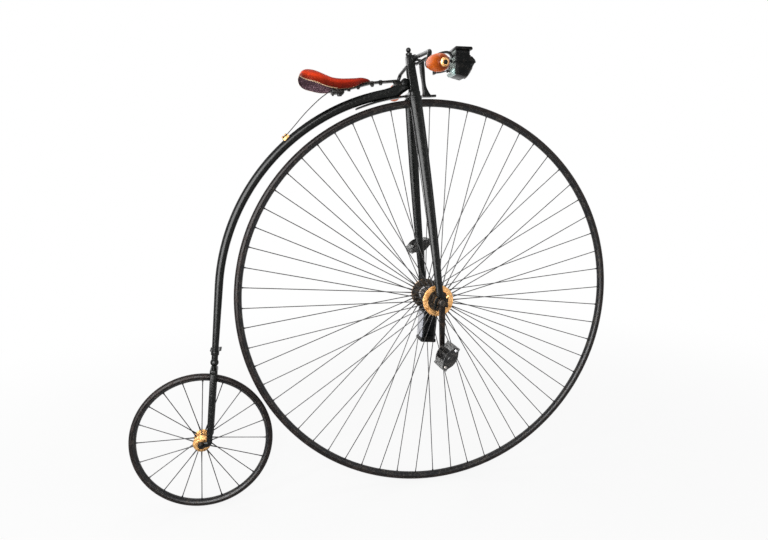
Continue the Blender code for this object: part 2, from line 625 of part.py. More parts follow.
sweep = piece("steering_head_sweep_guide",
              box((-0.05, -0.05, CROWN_TOP + HEAD_FLOOR + 0.001), (-0.003, 0.05, NECK_TOP)), None, steering, STEER)
bar_hole = piece("steering_head_bar_hole_guide", cylinder(BAR_RADIUS + SEAT_GAP, 0.08, 16), None,
                 steering, STEER @ at(x=BAR_FORWARD, y=-0.04, z=BAR_HEIGHT, tilt=LAY_LEFT))
bolt_hole = piece("steering_head_bolt_hole_guide", cylinder(BOLT_RADIUS + SEAT_GAP, HEAD_ROOF + 0.02, 14), None,
                  steering, STEER @ at(z=room_top - 0.01))
join(head, "DIFFERENCE", room, mouth, sweep, bar_hole, bolt_hole)

# The top centre bolt: its cone holds the spindle's top, its ball head stands over the collar.
CONE_GAP = 0.0006
spindle_top = room_top - CONE_HEIGHT * 0.2
collar_at = HEAD_TOP + SEAT_GAP
outline = [(0, spindle_top + CONE_GAP), (BOLT_RADIUS, spindle_top + CONE_GAP), (BOLT_RADIUS, collar_at),
           (BOLT_COLLAR[0], collar_at), (BOLT_COLLAR[0], collar_at + BOLT_COLLAR[1]),
           (BOLT_COLLAR[0] - 0.0015, collar_at + BOLT_COLLAR[1] + 0.001),
           (BOLT_RADIUS, collar_at + BOLT_COLLAR[1] + 0.001)]
ball_middle = collar_at + BOLT_COLLAR[1] + BOLT_SHANK + BOLT_BALL * math.cos(math.asin(BOLT_RADIUS / BOLT_BALL))
low = math.asin(BOLT_RADIUS / BOLT_BALL)
for i in range(6):
    turn = low + (math.pi - low) * i / 5
    outline.append((max(BOLT_BALL * math.sin(turn), 0), ball_middle - BOLT_BALL * math.cos(turn)))
piece("head_bolt", turned(outline, 12, closed=False), "steel", steering, STEER)

# The spindle stands in the head and carries the neck, which swells back into the backbone's tube.
spindle_foot = CROWN_TOP + HEAD_FLOOR + 0.001
outline = [(0, spindle_foot), (CONE_RADIUS * 0.6, spindle_foot), (CONE_RADIUS, spindle_foot + CONE_HEIGHT * 0.5),
           (SPINDLE_RADIUS, spindle_foot + CONE_HEIGHT), (SPINDLE_RADIUS, spindle_top - CONE_HEIGHT),
           (CONE_RADIUS, spindle_top - CONE_HEIGHT * 0.5), (CONE_RADIUS * 0.6, spindle_top), (0, spindle_top)]
spindle = piece("steering_spindle", turned(outline, 12, closed=False), "enamel", bicycle, STEER)


def backbone_point(turn):
    """The backbone's middle line round the front axle, easing out from the tyre towards the tail."""
    t = (turn - NECK_ANGLE) / (TAIL_ANGLE - NECK_ANGLE)
    neck = WHEEL_RADIUS + NECK_CLEARANCE + BACKBONE_NECK_RADIUS
    tail = WHEEL_RADIUS + TAIL_CLEARANCE + BACKBONE_TAIL_RADIUS
    radius = neck + (tail - neck) * math.sin(math.pi / 2 * t)
    return FRONT_AXLE + Vector((radius * math.cos(turn), 0, radius * math.sin(turn)))


def backbone_radius(t):
    return BACKBONE_NECK_RADIUS + (BACKBONE_TAIL_RADIUS - BACKBONE_NECK_RADIUS) * t


tube_start = backbone_point(NECK_ANGLE)
tube_on = (backbone_point(NECK_ANGLE + (TAIL_ANGLE - NECK_ANGLE) / BACKBONE_STEPS) - tube_start).normalized()
rings = []
LEVEL = Vector((0, 1, 0))
for forward, up, half_up, half_side, slope in (
    # ahead of the spindle, height over the crown, half height, half thickness, slope of the section
    (-0.0050, 0.0290, 0.0150, 0.0034, 0.0),
    (-0.0120, 0.0285, 0.0165, 0.0036, 0.0),
    (-0.0210, 0.0280, 0.0200, 0.0055, 0.15),
    (-0.0340, 0.0205, 0.0185, 0.0100, 0.30),
    (-0.0600, 0.0070, 0.0185, 0.0145, 0.42),
):
    middle = raked(forward, 0, CROWN_TOP + up)
    back = Vector((-math.cos(slope), 0, -math.sin(slope)))
    rings.append(oval(middle, LEVEL, back.cross(LEVEL), half_side, half_up, 12))
rings.append(oval(tube_start - tube_on * SEAT_GAP, LEVEL, tube_on.cross(LEVEL), BACKBONE_NECK_RADIUS,
                  BACKBONE_NECK_RADIUS, 12))
neck = piece("steering_spindle_neck_guide", loft(rings), None, bicycle)
neck_bolt = piece("steering_spindle_bolt_guide", cylinder(NECK_BOLT_RADIUS, 2 * NECK_BOLT_REACH, 12, 0.001), None,
                  bicycle, STEER @ at(x=-NECK_BOLT_BEHIND, y=-NECK_BOLT_REACH, z=CROWN_TOP + 0.029, tilt=LAY_LEFT))
join(spindle, "UNION", neck, neck_bolt)

path = []
radii = []
for i in range(BACKBONE_STEPS + 1):
    t = i / BACKBONE_STEPS
    path.append(backbone_point(NECK_ANGLE + (TAIL_ANGLE - NECK_ANGLE) * t))
    radii.append(backbone_radius(t))
tail_on = Vector((-math.sin(TAIL_ANGLE), 0, math.cos(TAIL_ANGLE)))
to_rear = REAR_AXLE - path[-1]
crown_reach = REAR_RADIUS + RUNNING_GAP + REAR_CROWN_THICKNESS / 2
crown_over = math.sqrt(crown_reach ** 2 - to_rear.length_squared + to_rear.dot(tail_on) ** 2)
tail_length = to_rear.dot(tail_on) - crown_over - STEM_LENGTH
tail_end = path[-1] + tail_on * tail_length
tube_path = list(path)
for t in (0.35, 0.7, 1.0):
    path.append(path[BACKBONE_STEPS] + tail_on * tail_length * t)
    radii.append(BACKBONE_TAIL_RADIUS + (BACKBONE_END_RADIUS - BACKBONE_TAIL_RADIUS) * t)
piece("backbone", pipe(path, radii, points=12), "enamel", bicycle)

# The rear fork: a ball and stem under the backbone, a bridge over the small tyre and two flat blades.
crown_middle = tail_end + tail_on * STEM_LENGTH
blade_top = crown_middle + tail_on * REAR_CROWN_THICKNESS / 2
outline = [(0, SEAT_GAP), (BACKBONE_END_RADIUS, SEAT_GAP)]
ball_at = SEAT_GAP + BALL_RADIUS * math.cos(math.asin(BACKBONE_END_RADIUS / BALL_RADIUS))
first = math.asin(BACKBONE_END_RADIUS / BALL_RADIUS)
last = math.pi - math.asin(STEM_RADIUS / BALL_RADIUS)
for i in range(1, 7):
    turn = first + (last - first) * i / 6
    outline.append((BALL_RADIUS * math.sin(turn), ball_at - BALL_RADIUS * math.cos(turn)))
outline += [(STEM_RADIUS, STEM_LENGTH), (0, STEM_LENGTH)]
stem_place = Matrix.Translation(tail_end) @ tail_on.to_track_quat("Z", "Y").to_matrix().to_4x4()
rear_crown = piece("rear_fork_crown", turned(outline, 12, closed=False), "enamel", bicycle, stem_place)
blade_turn = math.atan2(-tail_on.x, -tail_on.z)
crown_place = Matrix.Translation(blade_top) @ Matrix.Rotation(blade_turn, 4, "Y")
rear_side = REAR_BLADE_OFFSET_TOP + REAR_BLADE_TOP[1]
bridge = piece("rear_fork_bridge_guide", box((-REAR_CROWN_HALF_DEPTH, -rear_side, 0),
                                             (REAR_CROWN_HALF_DEPTH, rear_side, REAR_CROWN_THICKNESS), 0.004, 2),
               None, bicycle, crown_place)
join(rear_crown, "UNION", bridge)
axle_there = crown_place.inverted() @ REAR_AXLE
for label, side, lay in (("R", -1, LAY_RIGHT), ("L", 1, LAY_LEFT)):
    drop = -axle_there.z - SEAT_GAP
    knee = Vector((0, 0, axle_there.z + REAR_EYE_RADIUS * 0.35))
    foot = Vector((axle_there.x, 0, axle_there.z))
    foot -= (foot - knee).normalized() * REAR_EYE_RADIUS * 0.45
    straight = [Vector((0, 0, -SEAT_GAP - (drop * 0.82) * i / REAR_BLADE_STEPS)) for i in range(REAR_BLADE_STEPS)]
    line = straight + bend([Vector((0, 0, -SEAT_GAP - drop * 0.82)), knee, foot], REAR_BLADE_BEND, 3)
    rings = []
    for i, here in enumerate(line):
        ahead = line[min(i + 1, len(line) - 1)] - line[max(i - 1, 0)]
        ahead.normalize()
        t = min(max(-here.z / drop, 0), 1)
        offset = REAR_BLADE_OFFSET_TOP + (REAR_BLADE_OFFSET_AXLE - REAR_BLADE_OFFSET_TOP) * t ** 0.8
        depth = REAR_BLADE_TOP[0] + (REAR_BLADE_BOTTOM[0] - REAR_BLADE_TOP[0]) * t
        thick = REAR_BLADE_TOP[1] + (REAR_BLADE_BOTTOM[1] - REAR_BLADE_TOP[1]) * t
        rings.append(oval(here + LEVEL * side * offset, LEVEL.cross(ahead), LEVEL, depth, thick, 12))
    blade = piece(f"rear_fork_blade_{label}", loft(rings), "enamel", bicycle, crown_place)
    eye_inner = REAR_BLADE_OFFSET_AXLE - REAR_EYE_WIDTH / 2
    eye = piece(f"rear_fork_eye_{label}_guide", cylinder(REAR_EYE_RADIUS, REAR_EYE_WIDTH, 16, 0.001), None, bicycle,
                rear_place @ at(y=side * eye_inner, tilt=lay))
    eye_bore = piece(f"rear_fork_eye_bore_{label}_guide", cylinder(REAR_AXLE_RADIUS + SEAT_GAP, REAR_EYE_WIDTH + 0.01, 14),
                     None, bicycle, rear_place @ at(y=side * (eye_inner - 0.005), tilt=lay))
    join(blade, "UNION", eye)
    join(blade, "DIFFERENCE", eye_bore)

eye_outer = REAR_BLADE_OFFSET_AXLE + REAR_EYE_WIDTH / 2
nut_radius, nut_width = REAR_NUT
axle_end = eye_outer + SEAT_GAP + nut_width + 0.004
outline = [(0, -axle_end), (REAR_AXLE_RADIUS, -axle_end), (REAR_AXLE_RADIUS, axle_end), (0, axle_end)]
axle = piece("rear_axle", turned(outline, 14, closed=False), "enamel", bicycle, rear_place @ at(tilt=LAY_LEFT))
for label, side, lay in (("R", -1, LAY_RIGHT), ("L", 1, LAY_LEFT)):
    nut = piece(f"rear_axle_nut_{label}_guide", cylinder(nut_radius, nut_width, 6), None, bicycle,
                rear_place @ at(y=side * (eye_outer + SEAT_GAP), tilt=lay))
    join(axle, "UNION", nut)

# The rear hub turns on the axle between the blades' eyes.
hub_half = REAR_BLADE_OFFSET_AXLE - REAR_EYE_WIDTH / 2 - THRUST_GAP
bore = REAR_AXLE_RADIUS + SEAT_GAP
inner = REAR_FLANGE_OFFSET - REAR_FLANGE_WIDTH / 2
outer = REAR_FLANGE_OFFSET + REAR_FLANGE_WIDTH / 2
side_outline = [(REAR_BARREL_RADIUS - 0.002, inner - 0.004), (REAR_BARREL_RADIUS + 0.003, inner),
                (REAR_FLANGE_RADIUS, inner + 0.0012), (REAR_FLANGE_RADIUS, outer - 0.0012),
                (REAR_BARREL_RADIUS + 0.002, outer), (REAR_BARREL_RADIUS - 0.003, hub_half)]
outline = [(bore, -hub_half)] + [(r, -h) for r, h in reversed(side_outline)] + side_outline + [(bore, hub_half)]
piece("rear_hub", turned(outline, 16), "brass", rear_axle, rear_place @ at(tilt=LAY_LEFT))


# The handlebar: straight through the head, turned down at each end and out again into the grips.
def bar_path(side):
    low = BAR_HEIGHT - BAR_FALL - BAR_DROP
    back = BAR_FORWARD - BAR_SETBACK
    along = Vector((math.tan(GRIP_SWEEP), side, -math.tan(GRIP_DROOP))).normalized()
    inner = Vector((back, side * (GRIP_START - BAR_BEND), low))
    outer = inner + along * (BAR_BEND + GRIP_LENGTH + 0.008)
    points = [raked(BAR_FORWARD, 0, BAR_HEIGHT), raked(BAR_FORWARD, side * (HEAD_HALF_WIDTH + 0.007), BAR_HEIGHT),
              raked(BAR_FORWARD, side * BAR_REACH, BAR_HEIGHT - BAR_FALL), raked(*inner), raked(*outer)]
    return bend(points, BAR_BEND, 3)


left = bar_path(1)
right = bar_path(-1)
whole = right[::-1] + left[1:]
piece("handlebar", pipe(whole, BAR_RADIUS, level=Vector((1, 0, 0)), points=8), "enamel", steering)

grip_on = {}
for label, side in (("R", -1), ("L", 1)):
    path = right if side < 0 else left
    start, end = path[-2], path[-1]
    along = (end - start).normalized()
    foot = end - along * (GRIP_LENGTH + 0.008)
    grip_on[label] = (foot, along)
    place = Matrix.Translation(foot) @ along.to_track_quat("Z", "Y").to_matrix().to_4x4()
    hole = BAR_RADIUS + SEAT_GAP
    full = GRIP_RADIUS
    collar = FERRULE_RADIUS
    wood = GRIP_LENGTH - FERRULE_LENGTH
    outline = [(hole, 0), (collar - 0.001, 0), (collar, 0.001), (collar, FERRULE_LENGTH - 0.0015),
               (collar - 0.0015, FERRULE_LENGTH)]
    for along_wood, wide in ((0.04, 0.70), (0.20, 0.86), (0.42, 0.97), (0.62, 1.0), (0.78, 0.95), (0.90, 0.80),
                             (0.97, 0.62)):
        outline.append((full * wide, FERRULE_LENGTH + wood * along_wood))
    outline += [(GRIP_CAP_RADIUS + 0.001, GRIP_LENGTH), (hole, GRIP_LENGTH)]
    piece(f"grip_{label}", turned(outline, 14), "wood", steering, place)
    cap = [
        (hole, GRIP_LENGTH + SEAT_GAP), (GRIP_CAP_RADIUS, GRIP_LENGTH + SEAT_GAP),
        (GRIP_CAP_RADIUS, GRIP_LENGTH + GRIP_CAP_DEPTH - 0.001),
        (GRIP_CAP_RADIUS - 0.0015, GRIP_LENGTH + GRIP_CAP_DEPTH), (hole, GRIP_LENGTH + GRIP_CAP_DEPTH),
    ]
    piece(f"grip_cap_{label}", turned(cap, 12), "brass", steering, place)

# The spoon brake: a plate down the head's front with its spoon over the tyre, and the hand lever on the right.
spoon_top = WHEEL_RADIUS + SPOON_GAP + SPOON_THICKNESS
path = [
    raked(BRAKE_PLATE_FORWARD, 0, HEAD_TOP - 0.0205), raked(BRAKE_PLATE_FORWARD, 0, HEAD_TOP - 0.050),
    raked(BRAKE_PLATE_FORWARD + 0.0010, 0, HEAD_TOP - 0.085),
    raked(BRAKE_PLATE_FORWARD + 0.0020, 0, CROWN_TOP + 0.012),
    raked(BRAKE_PLATE_FORWARD + 0.0060, 0, spoon_top - 0.0035),
]
plate_width = [0.024, 0.017, 0.014, 0.016, 0.020]
plate_depth = [BRAKE_PLATE_THICKNESS * share for share in (0.95, 1.0, 0.78, 0.85, 0.9)]
spoon_plate = piece("brake_spoon", strip(path, plate_width, plate_depth), "enamel", steering)
rings = []
for i in range(6):
    t = i / 5
    turn = RAKE + math.radians(90) - (0.032 + SPOON_LENGTH * t) / WHEEL_RADIUS
    out = Vector((math.cos(turn), 0, math.sin(turn)))
    lift = SPOON_GAP + 0.004 * max(0.0, t - 0.55) + SPOON_THICKNESS / 2
    middle = FRONT_AXLE + out * (WHEEL_RADIUS + lift)
    half = SPOON_WIDTH / 2 * (1 - 0.35 * t)
    edge = SPOON_THICKNESS / 2
    rings.append([middle + LEVEL * half + out * edge, middle - LEVEL * half + out * edge,
                  middle - LEVEL * half - out * edge, middle + LEVEL * half - out * edge])
shoe = piece("brake_spoon_shoe_guide", loft(rings), None, steering)
join(spoon_plate, "UNION", shoe)

lever_reach = BAR_FORWARD - BAR_SETBACK + GRIP_RADIUS + BRAKE_LEVER_RADIUS + 0.0125
lever_high = BAR_HEIGHT - 0.0135
grip_high = BAR_HEIGHT - BAR_FALL - BAR_DROP
points = [raked(0.0275, 0.018, lever_high), raked(0.0290, -BAR_REACH * 0.55, lever_high - 0.0025),
          raked(lever_reach, -BAR_REACH - 0.010, grip_high + 0.008),
          raked(lever_reach + 0.004, -GRIP_START - 0.062, grip_high - 0.012)]
pivot_low = lever_high - BRAKE_LEVER_RADIUS
slope = (pivot_low - CROWN_TOP - 0.010) / (HEAD_TOP - 0.003 - CROWN_TOP - 0.010)
pivot_rear = HEAD_FRONT_BOTTOM + (HEAD_FRONT_TOP - HEAD_FRONT_BOTTOM) * slope + SEAT_GAP
pivot = piece("brake_lever_pivot_guide", box((pivot_rear, -HEAD_HALF_WIDTH * 0.55, pivot_low),
                                             (0.0275, HEAD_HALF_WIDTH * 0.55, lever_high + 0.0015)), None, steering, STEER)
lever = piece("brake_lever", pipe(bend(points, 0.022, 3), BRAKE_LEVER_RADIUS, level=Vector((1, 0, 0)), points=8),
              "enamel", steering)
join(lever, "UNION", pivot)

# The short guard behind the crown, just over the tyre.
guard_radius = WHEEL_RADIUS + 0.0088 + GUARD_THICKNESS / 2
guard_start = math.radians(90) + RAKE + math.asin((CROWN_HALF_DEPTH + SEAT_GAP + 0.0004) / guard_radius)
path = []
for i in range(9):
    turn = guard_start + (GUARD_END - guard_start) * i / 8
    path.append(FRONT_AXLE + Vector((math.cos(turn), 0, math.sin(turn))) * guard_radius)
piece("crown_guard", strip(path, GUARD_WIDTH, GUARD_THICKNESS), "enamel", steering)

# The headlamp on its sprung bracket, ahead of the head in the middle plane.
head_peak = raked(0, 0, HEAD_TOP)
tongue_x = head_peak.x + TONGUE_REACH
plate_x = head_peak.x + LAMP_REACH
lamp_back = plate_x + SEAT_GAP
lamp_top = head_peak.z + LAMP_CAP_OVER_HEAD
lamp_foot = lamp_top - LAMP_HEIGHT
arm_high = lamp_foot + LAMP_HEIGHT * 0.67
arm_low = lamp_foot + LAMP_HEIGHT * 0.22


def between(share):
    """A place along X between the tongue and the lamp's back plate."""
    return tongue_x + (plate_x - tongue_x) * share


root = raked(BAR_FORWARD + BAR_RADIUS + 0.0045 + SEAT_GAP, 0, BAR_HEIGHT - 0.003)
bracket_path = [root, Vector((root.x + 0.020, 0, root.z - 0.0005)), Vector((tongue_x, 0, root.z + 0.0005))]
bracket = piece("lamp_bracket", strip(bracket_path, 0.014, 0.005), "enamel", steering)
tongue = piece("lamp_bracket_tongue_guide", box((tongue_x - 0.003, -0.011, arm_low - 0.010),
                                                (tongue_x + 0.003, 0.011, root.z + 0.009), 0.001),
               None, steering)
arms = []
for label, points in (
    # the two leaves that carry the lamp, from the tongue to its back plate
    ("upper", [(0.0, root.z + 0.003), (0.50, arm_high + 0.008), (0.82, arm_high + 0.0075), (0.95, arm_high - 0.004)]),
    ("lower", [(0.0, arm_low - 0.006), (0.55, arm_low - 0.002), (0.95, arm_low + 0.004)]),
):
    arm_path = [Vector((between(share), 0, high)) for share, high in points]
    arms.append(piece(f"lamp_bracket_{label}_arm_guide", strip(arm_path, 0.012, 0.0035), None, steering))
back_plate = piece("lamp_bracket_back_guide", box((plate_x - LAMP_PLATE, -0.011, arm_low - 0.002),
                                                  (plate_x, 0.011, arm_high + 0.002)), None, steering)
join(bracket, "UNION", tongue, *arms, back_plate)


def on_lamp(forward, up):
    """A place on the lamp by shares of its length and height, from the foot of its back."""
    return (lamp_back + LAMP_LENGTH * forward, lamp_foot + LAMP_HEIGHT * up)


lamp_side = LAMP_WIDTH / 2
body_outline = [on_lamp(0, 0.10), on_lamp(0.64, 0), on_lamp(1, 0.50), on_lamp(1, 0.56), on_lamp(0.86, 0.68),
                on_lamp(0, 0.68)]
body = piece("headlamp_body", prism(body_outline, -lamp_side, lamp_side), "enamel", steering)
stack_low, stack_high = on_lamp(0.02, 0.64), on_lamp(0.83, 0.92)
chimney = piece("headlamp_chimney_guide", box((stack_low[0], -lamp_side * 0.82, stack_low[1]),
                                              (stack_high[0], lamp_side * 0.82, stack_high[1])), None, steering)
cap_low, cap_high = on_lamp(0.005, 0.905), on_lamp(0.90, 1)
chimney_cap = piece("headlamp_cap_guide", box((cap_low[0], -lamp_side * 0.88, cap_low[1]),
                                              (cap_high[0], lamp_side * 0.88, cap_high[1]), 0.002), None, steering)
seam_low, seam_high = on_lamp(0, 0.47), on_lamp(1.015, 0.515)
seam = piece("headlamp_seam_guide", box((seam_low[0], -lamp_side - 0.0015, seam_low[1]),
                                        (seam_high[0], lamp_side + 0.0015, seam_high[1])), None, steering)
join(body, "UNION", chimney, chimney_cap, seam)
front_foot, front_tip = Vector((body_outline[1][0], 0, body_outline[1][1])), Vector((body_outline[2][0], 0, body_outline[2][1]))
front_on = (front_tip - front_foot).normalized()
front_out = Vector((front_on.z, 0, -front_on.x))
lens_middle = (front_foot + front_tip) / 2 + front_out * SEAT_GAP - front_on * 0.002
lens_place = Matrix.Translation(lens_middle) @ front_out.to_track_quat("Z", "Y").to_matrix().to_4x4()
lens_outline = [(0, 0), (LENS_RADIUS, 0), (LENS_RADIUS, LENS_DEPTH * 0.45), (LENS_RADIUS * 0.67, LENS_DEPTH * 0.83),
                (0, LENS_DEPTH)]
piece("headlamp_lens", turned(lens_outline, 24, closed=False), "glass", steering, lens_place)

# The hub lamp hangs by a lined collar on the hub's barrel, between the flanges.
collar_outline = [(BARREL_RADIUS + SEAT_GAP, -COLLAR_WIDTH / 2), (BARREL_RADIUS + COLLAR_WALL, -COLLAR_WIDTH / 2),
                  (BARREL_RADIUS + COLLAR_WALL, COLLAR_WIDTH / 2), (BARREL_RADIUS + SEAT_GAP, COLLAR_WIDTH / 2)]
hanger = piece("hub_lamp_hanger", turned(collar_outline, 24), "enamel", hub_lamp, front_place @ at(tilt=LAY_LEFT))
lx, ly, lz = HUB_LAMP_SIZE
lamp_place = front_place @ at(turn=HUB_LAMP_TILT)
strap = piece("hub_lamp_strap_guide", box((-0.020, -COLLAR_WIDTH / 2, -HUB_LAMP_DROP + SEAT_GAP),
                                          (0.004, COLLAR_WIDTH / 2, -BARREL_RADIUS - 0.002)), None, hub_lamp, lamp_place)
join(hanger, "UNION", strap)
piece("hub_lamp_body", box((-HUB_LAMP_SETBACK - lx / 2, -ly / 2, -HUB_LAMP_DROP - lz),
                           (-HUB_LAMP_SETBACK + lx / 2, ly / 2, -HUB_LAMP_DROP), 0.004), "enamel", hub_lamp, lamp_place)

# The mounting step on the left of the backbone's tail: a clamped band with an arm and a flat plate.
step_middle = tail_end - tail_on * STEP_RISE
tail_share = 1 - STEP_RISE / tail_length
tube_radius = BACKBONE_TAIL_RADIUS + (BACKBONE_END_RADIUS - BACKBONE_TAIL_RADIUS) * tail_share
taper = (BACKBONE_TAIL_RADIUS - BACKBONE_END_RADIUS) / tail_length
band_wall, band_height = STEP_BAND
band_low = tube_radius - taper * band_height / 2 + SEAT_GAP
band_high = tube_radius + taper * band_height / 2 + SEAT_GAP
band_place = Matrix.Translation(step_middle) @ (-tail_on).to_track_quat("Z", "Y").to_matrix().to_4x4()
band = piece("mounting_step", turned([(band_low, -band_height / 2), (band_low + band_wall, -band_height / 2),
                                      (band_high + band_wall, band_height / 2), (band_high, band_height / 2)], 20),
             "enamel", bicycle, band_place)
plate_x, plate_y, plate_z = STEP_PLATE
plate_near = band_high + band_wall + STEP_REACH
plate = piece("mounting_step_plate_guide", box((-plate_x / 2, plate_near, -plate_z / 2),
                                               (plate_x / 2, plate_near + plate_y, plate_z / 2), 0.0015),
              None, bicycle, at(x=step_middle.x, z=step_middle.z))
arm = piece("mounting_step_arm_guide", box((-0.006, band_low + band_wall * 0.4, -0.0055),
                                           (0.006, plate_near + plate_y * 0.5, 0.0005)),
            None, bicycle, at(x=step_middle.x, z=step_middle.z))
join(band, "UNION", arm, plate)

# The saddle: a leather seat with rolled sides, wide behind and narrow at its nose, on an iron frame.
SADDLE_STATIONS = (
    # shares of: the length from the back, the cantle's height, the skirt's depth, the width, the plate's width
    (0.0000, 0.293, 0.056, 0.476, None),
    (0.0311, 0.780, 0.333, 0.786, None),
    (0.0978, 1.000, 0.569, 0.964, 0.393),
    (0.2000, 0.878, 0.736, 1.000, 0.417),
    (0.3289, 0.439, 0.944, 0.833, 0.321),
    (0.4667, 0.073, 1.000, 0.571, 0.190),
    (0.6000, 0.000, 0.944, 0.393, 0.143),
    (0.7556, 0.098, 0.750, 0.310, 0.119),
    (0.8667, 0.220, 0.431, 0.298, 0.083),
    (0.9556, 0.049, 0.278, 0.226, None),
    (1.0000, -0.171, 0.217, 0.107, None),
)
SADDLE_ROLL = 9     # points across the seat


def on_saddle(along, skirt=0.0):
    """A point under the saddle's dip: a share of its length from the back, and of its skirt's depth."""
    return Vector((SADDLE_LENGTH * along - RIDER_BEHIND - SADDLE_BEHIND, 0, SEAT_HEIGHT - SADDLE_SKIRT * skirt))


def saddle_ring(x, ridge, edge, half_width, inset):
    """Half the section is a quarter of a rounded oblong, so the sides roll down to the edge."""
    points = []
    for i in range(SADDLE_ROLL):
        turn = math.pi * i / (SADDLE_ROLL - 1)
        across = math.copysign(abs(math.cos(turn)) ** 0.62, math.cos(turn))
        up = math.sin(turn) ** 0.72
        points.append(Vector((x, (half_width - inset) * across, SEAT_HEIGHT + edge + (ridge - edge - inset) * up)))
    return points


rings = []
plate_path = []
plate_widths = []
for along, high, low, wide, plate_wide in SADDLE_STATIONS:
    x = on_saddle(along).x
    ridge, edge, half_width = high * SADDLE_CANTLE, -low * SADDLE_SKIRT, wide * SADDLE_WIDTH / 2
    if plate_wide:
        plate_path.append(Vector((x, 0, SEAT_HEIGHT + ridge - SADDLE_THICKNESS - SADDLE_PLATE_GAP - SADDLE_PLATE / 2)))
        plate_widths.append(plate_wide * SADDLE_WIDTH)
    outer_ring = saddle_ring(x, ridge, edge, half_width, 0.0)
    inner_ring = saddle_ring(x, ridge, edge, half_width, min(SADDLE_THICKNESS, half_width * 0.4, (ridge - edge) * 0.4))
    rings.append(outer_ring + inner_ring[::-1])
piece("saddle_leather", loft(rings), "leather", bicycle, sharp=60)

# The saddle's iron frame: a cantle plate under the wide part and a bar to the nose, held by the spring's clamp.
piece("saddle_frame", strip(plate_path, plate_widths, SADDLE_PLATE), "enamel", bicycle)

# The leaf spring: bolted on the neck in front, running back under the saddle to its clamp.
spring_front = raked(-SPRING_SEAT[0], 0, CROWN_TOP + SPRING_SEAT[1])
spring_path = [spring_front, on_saddle(1.244, 0.139), on_saddle(1.022, 0.292), on_saddle(0.800, 0.653),
               on_saddle(0.622, 0.903), on_saddle(0.467, 1.000)]
spring = piece("saddle_spring", strip(spring_path, SPRING_WIDTH, SPRING_THICKNESS), "enamel", bicycle)
spring_on = (spring_path[1] - spring_path[0]).normalized()
pad_place = Matrix.Translation(spring_front) @ Matrix.Rotation(math.atan2(spring_on.z, -spring_on.x), 4, "Y")
pad_length, pad_depth = SPRING_PAD
pad = piece("steering_spindle_pad_guide",
            box((-pad_length * 0.87, -SPRING_WIDTH * 0.38, -SPRING_THICKNESS / 2 - pad_depth),
                (pad_length * 0.13, SPRING_WIDTH * 0.38, -SPRING_THICKNESS / 2 - SEAT_GAP)),
            None, bicycle, pad_place)
join(spindle, "UNION", pad)
bosses = []
for along, skirt, thicker, low, high in (
    # share of the saddle's length, of its skirt, of the bolt's radius, then reach below and above in skirts
    (1.1556, 0.158, 1.00, 0.278, 0.153),
    (1.0333, 0.278, 1.00, 0.319, 0.167),
    (0.8311, 0.603, 1.00, 0.236, 0.356),
    (0.6978, 0.797, 1.08, 0.236, 0.444),
    (0.5556, 0.944, 1.31, 0.528, 0.606),
):
    foot = on_saddle(along, skirt + low)
    bosses.append(piece(f"saddle_spring_boss_{len(bosses)}_guide",
                        cylinder(SPRING_BOLT_RADIUS * thicker, SADDLE_SKIRT * (low + high), 10), None,
                        bicycle, at(x=foot.x, z=foot.z)))
clamp_middle = on_saddle(0.533, 0.944)
clamp_half = Vector(CLAMP_SIZE) / 2
clamp = piece("saddle_spring_clamp_guide", box(clamp_middle - clamp_half, clamp_middle + clamp_half, 0.003),
              None, bicycle)
join(spring, "UNION", clamp, *bosses)

# The tail leaf runs down from the clamp to a brass clip on the backbone.
clip_step = round((CLIP_ANGLE - NECK_ANGLE) / (TAIL_ANGLE - NECK_ANGLE) * BACKBONE_STEPS - 0.5)
clip_middle = (tube_path[clip_step] + tube_path[clip_step + 1]) / 2
clip_on = (tube_path[clip_step + 1] - tube_path[clip_step]).normalized()
clip_t = (clip_step + 0.5) / BACKBONE_STEPS
clip_inner = backbone_radius(clip_t) + SEAT_GAP
clip_out = LEVEL.cross(clip_on)
clip_place = Matrix.Translation(clip_middle) @ clip_out.to_track_quat("Z", "Y").to_matrix().to_4x4()
clip = piece("tail_spring_clip", box((-CLIP_WIDTH / 2, -CLIP_LENGTH / 2, clip_inner * 0.72),
                                     (CLIP_WIDTH / 2, CLIP_LENGTH / 2, clip_inner + CLIP_WALL), 0.001), "brass",
             bicycle, clip_place)
groove = piece("tail_spring_clip_groove_guide", cylinder(clip_inner, CLIP_LENGTH * 2, 24), None, bicycle,
               clip_place @ at(y=-CLIP_LENGTH, tilt=LAY_LEFT))
join(clip, "DIFFERENCE", groove)
seat_on_clip = clip_middle + clip_out * (clip_inner + CLIP_WALL + SEAT_GAP + TAIL_LEAF_THICKNESS / 2)
leaf_start = clamp_middle + Vector((-clamp_half.x - SEAT_GAP, 0, -clamp_half.z * 0.42))
leaf_drop = seat_on_clip - leaf_start
leaf_points = [leaf_start]
for along, down in ((0.030, 0.003), (0.130, 0.075), (0.300, 0.220), (0.570, 0.500), (0.810, 0.790)):
    leaf_points.append(leaf_start + Vector((leaf_drop.x * along, 0, leaf_drop.z * down)))
leaf_points += [seat_on_clip - clip_on * CLIP_LENGTH * 0.4, seat_on_clip + clip_on * CLIP_LENGTH * 0.4]
piece("saddle_tail_spring", strip(leaf_points, TAIL_LEAF_WIDTH, TAIL_LEAF_THICKNESS), "steel", bicycle)
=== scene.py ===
"""Penny farthing bicycle: the looks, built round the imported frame.

Everything is laid out from the ground under the front axle, x forward, y to the rider's left, z up, in metres,
and is then moved to the frame's origin, which is the rider's place on the saddle.
"""
import math

import bmesh
import bpy
from mathutils import Matrix, Vector, noise


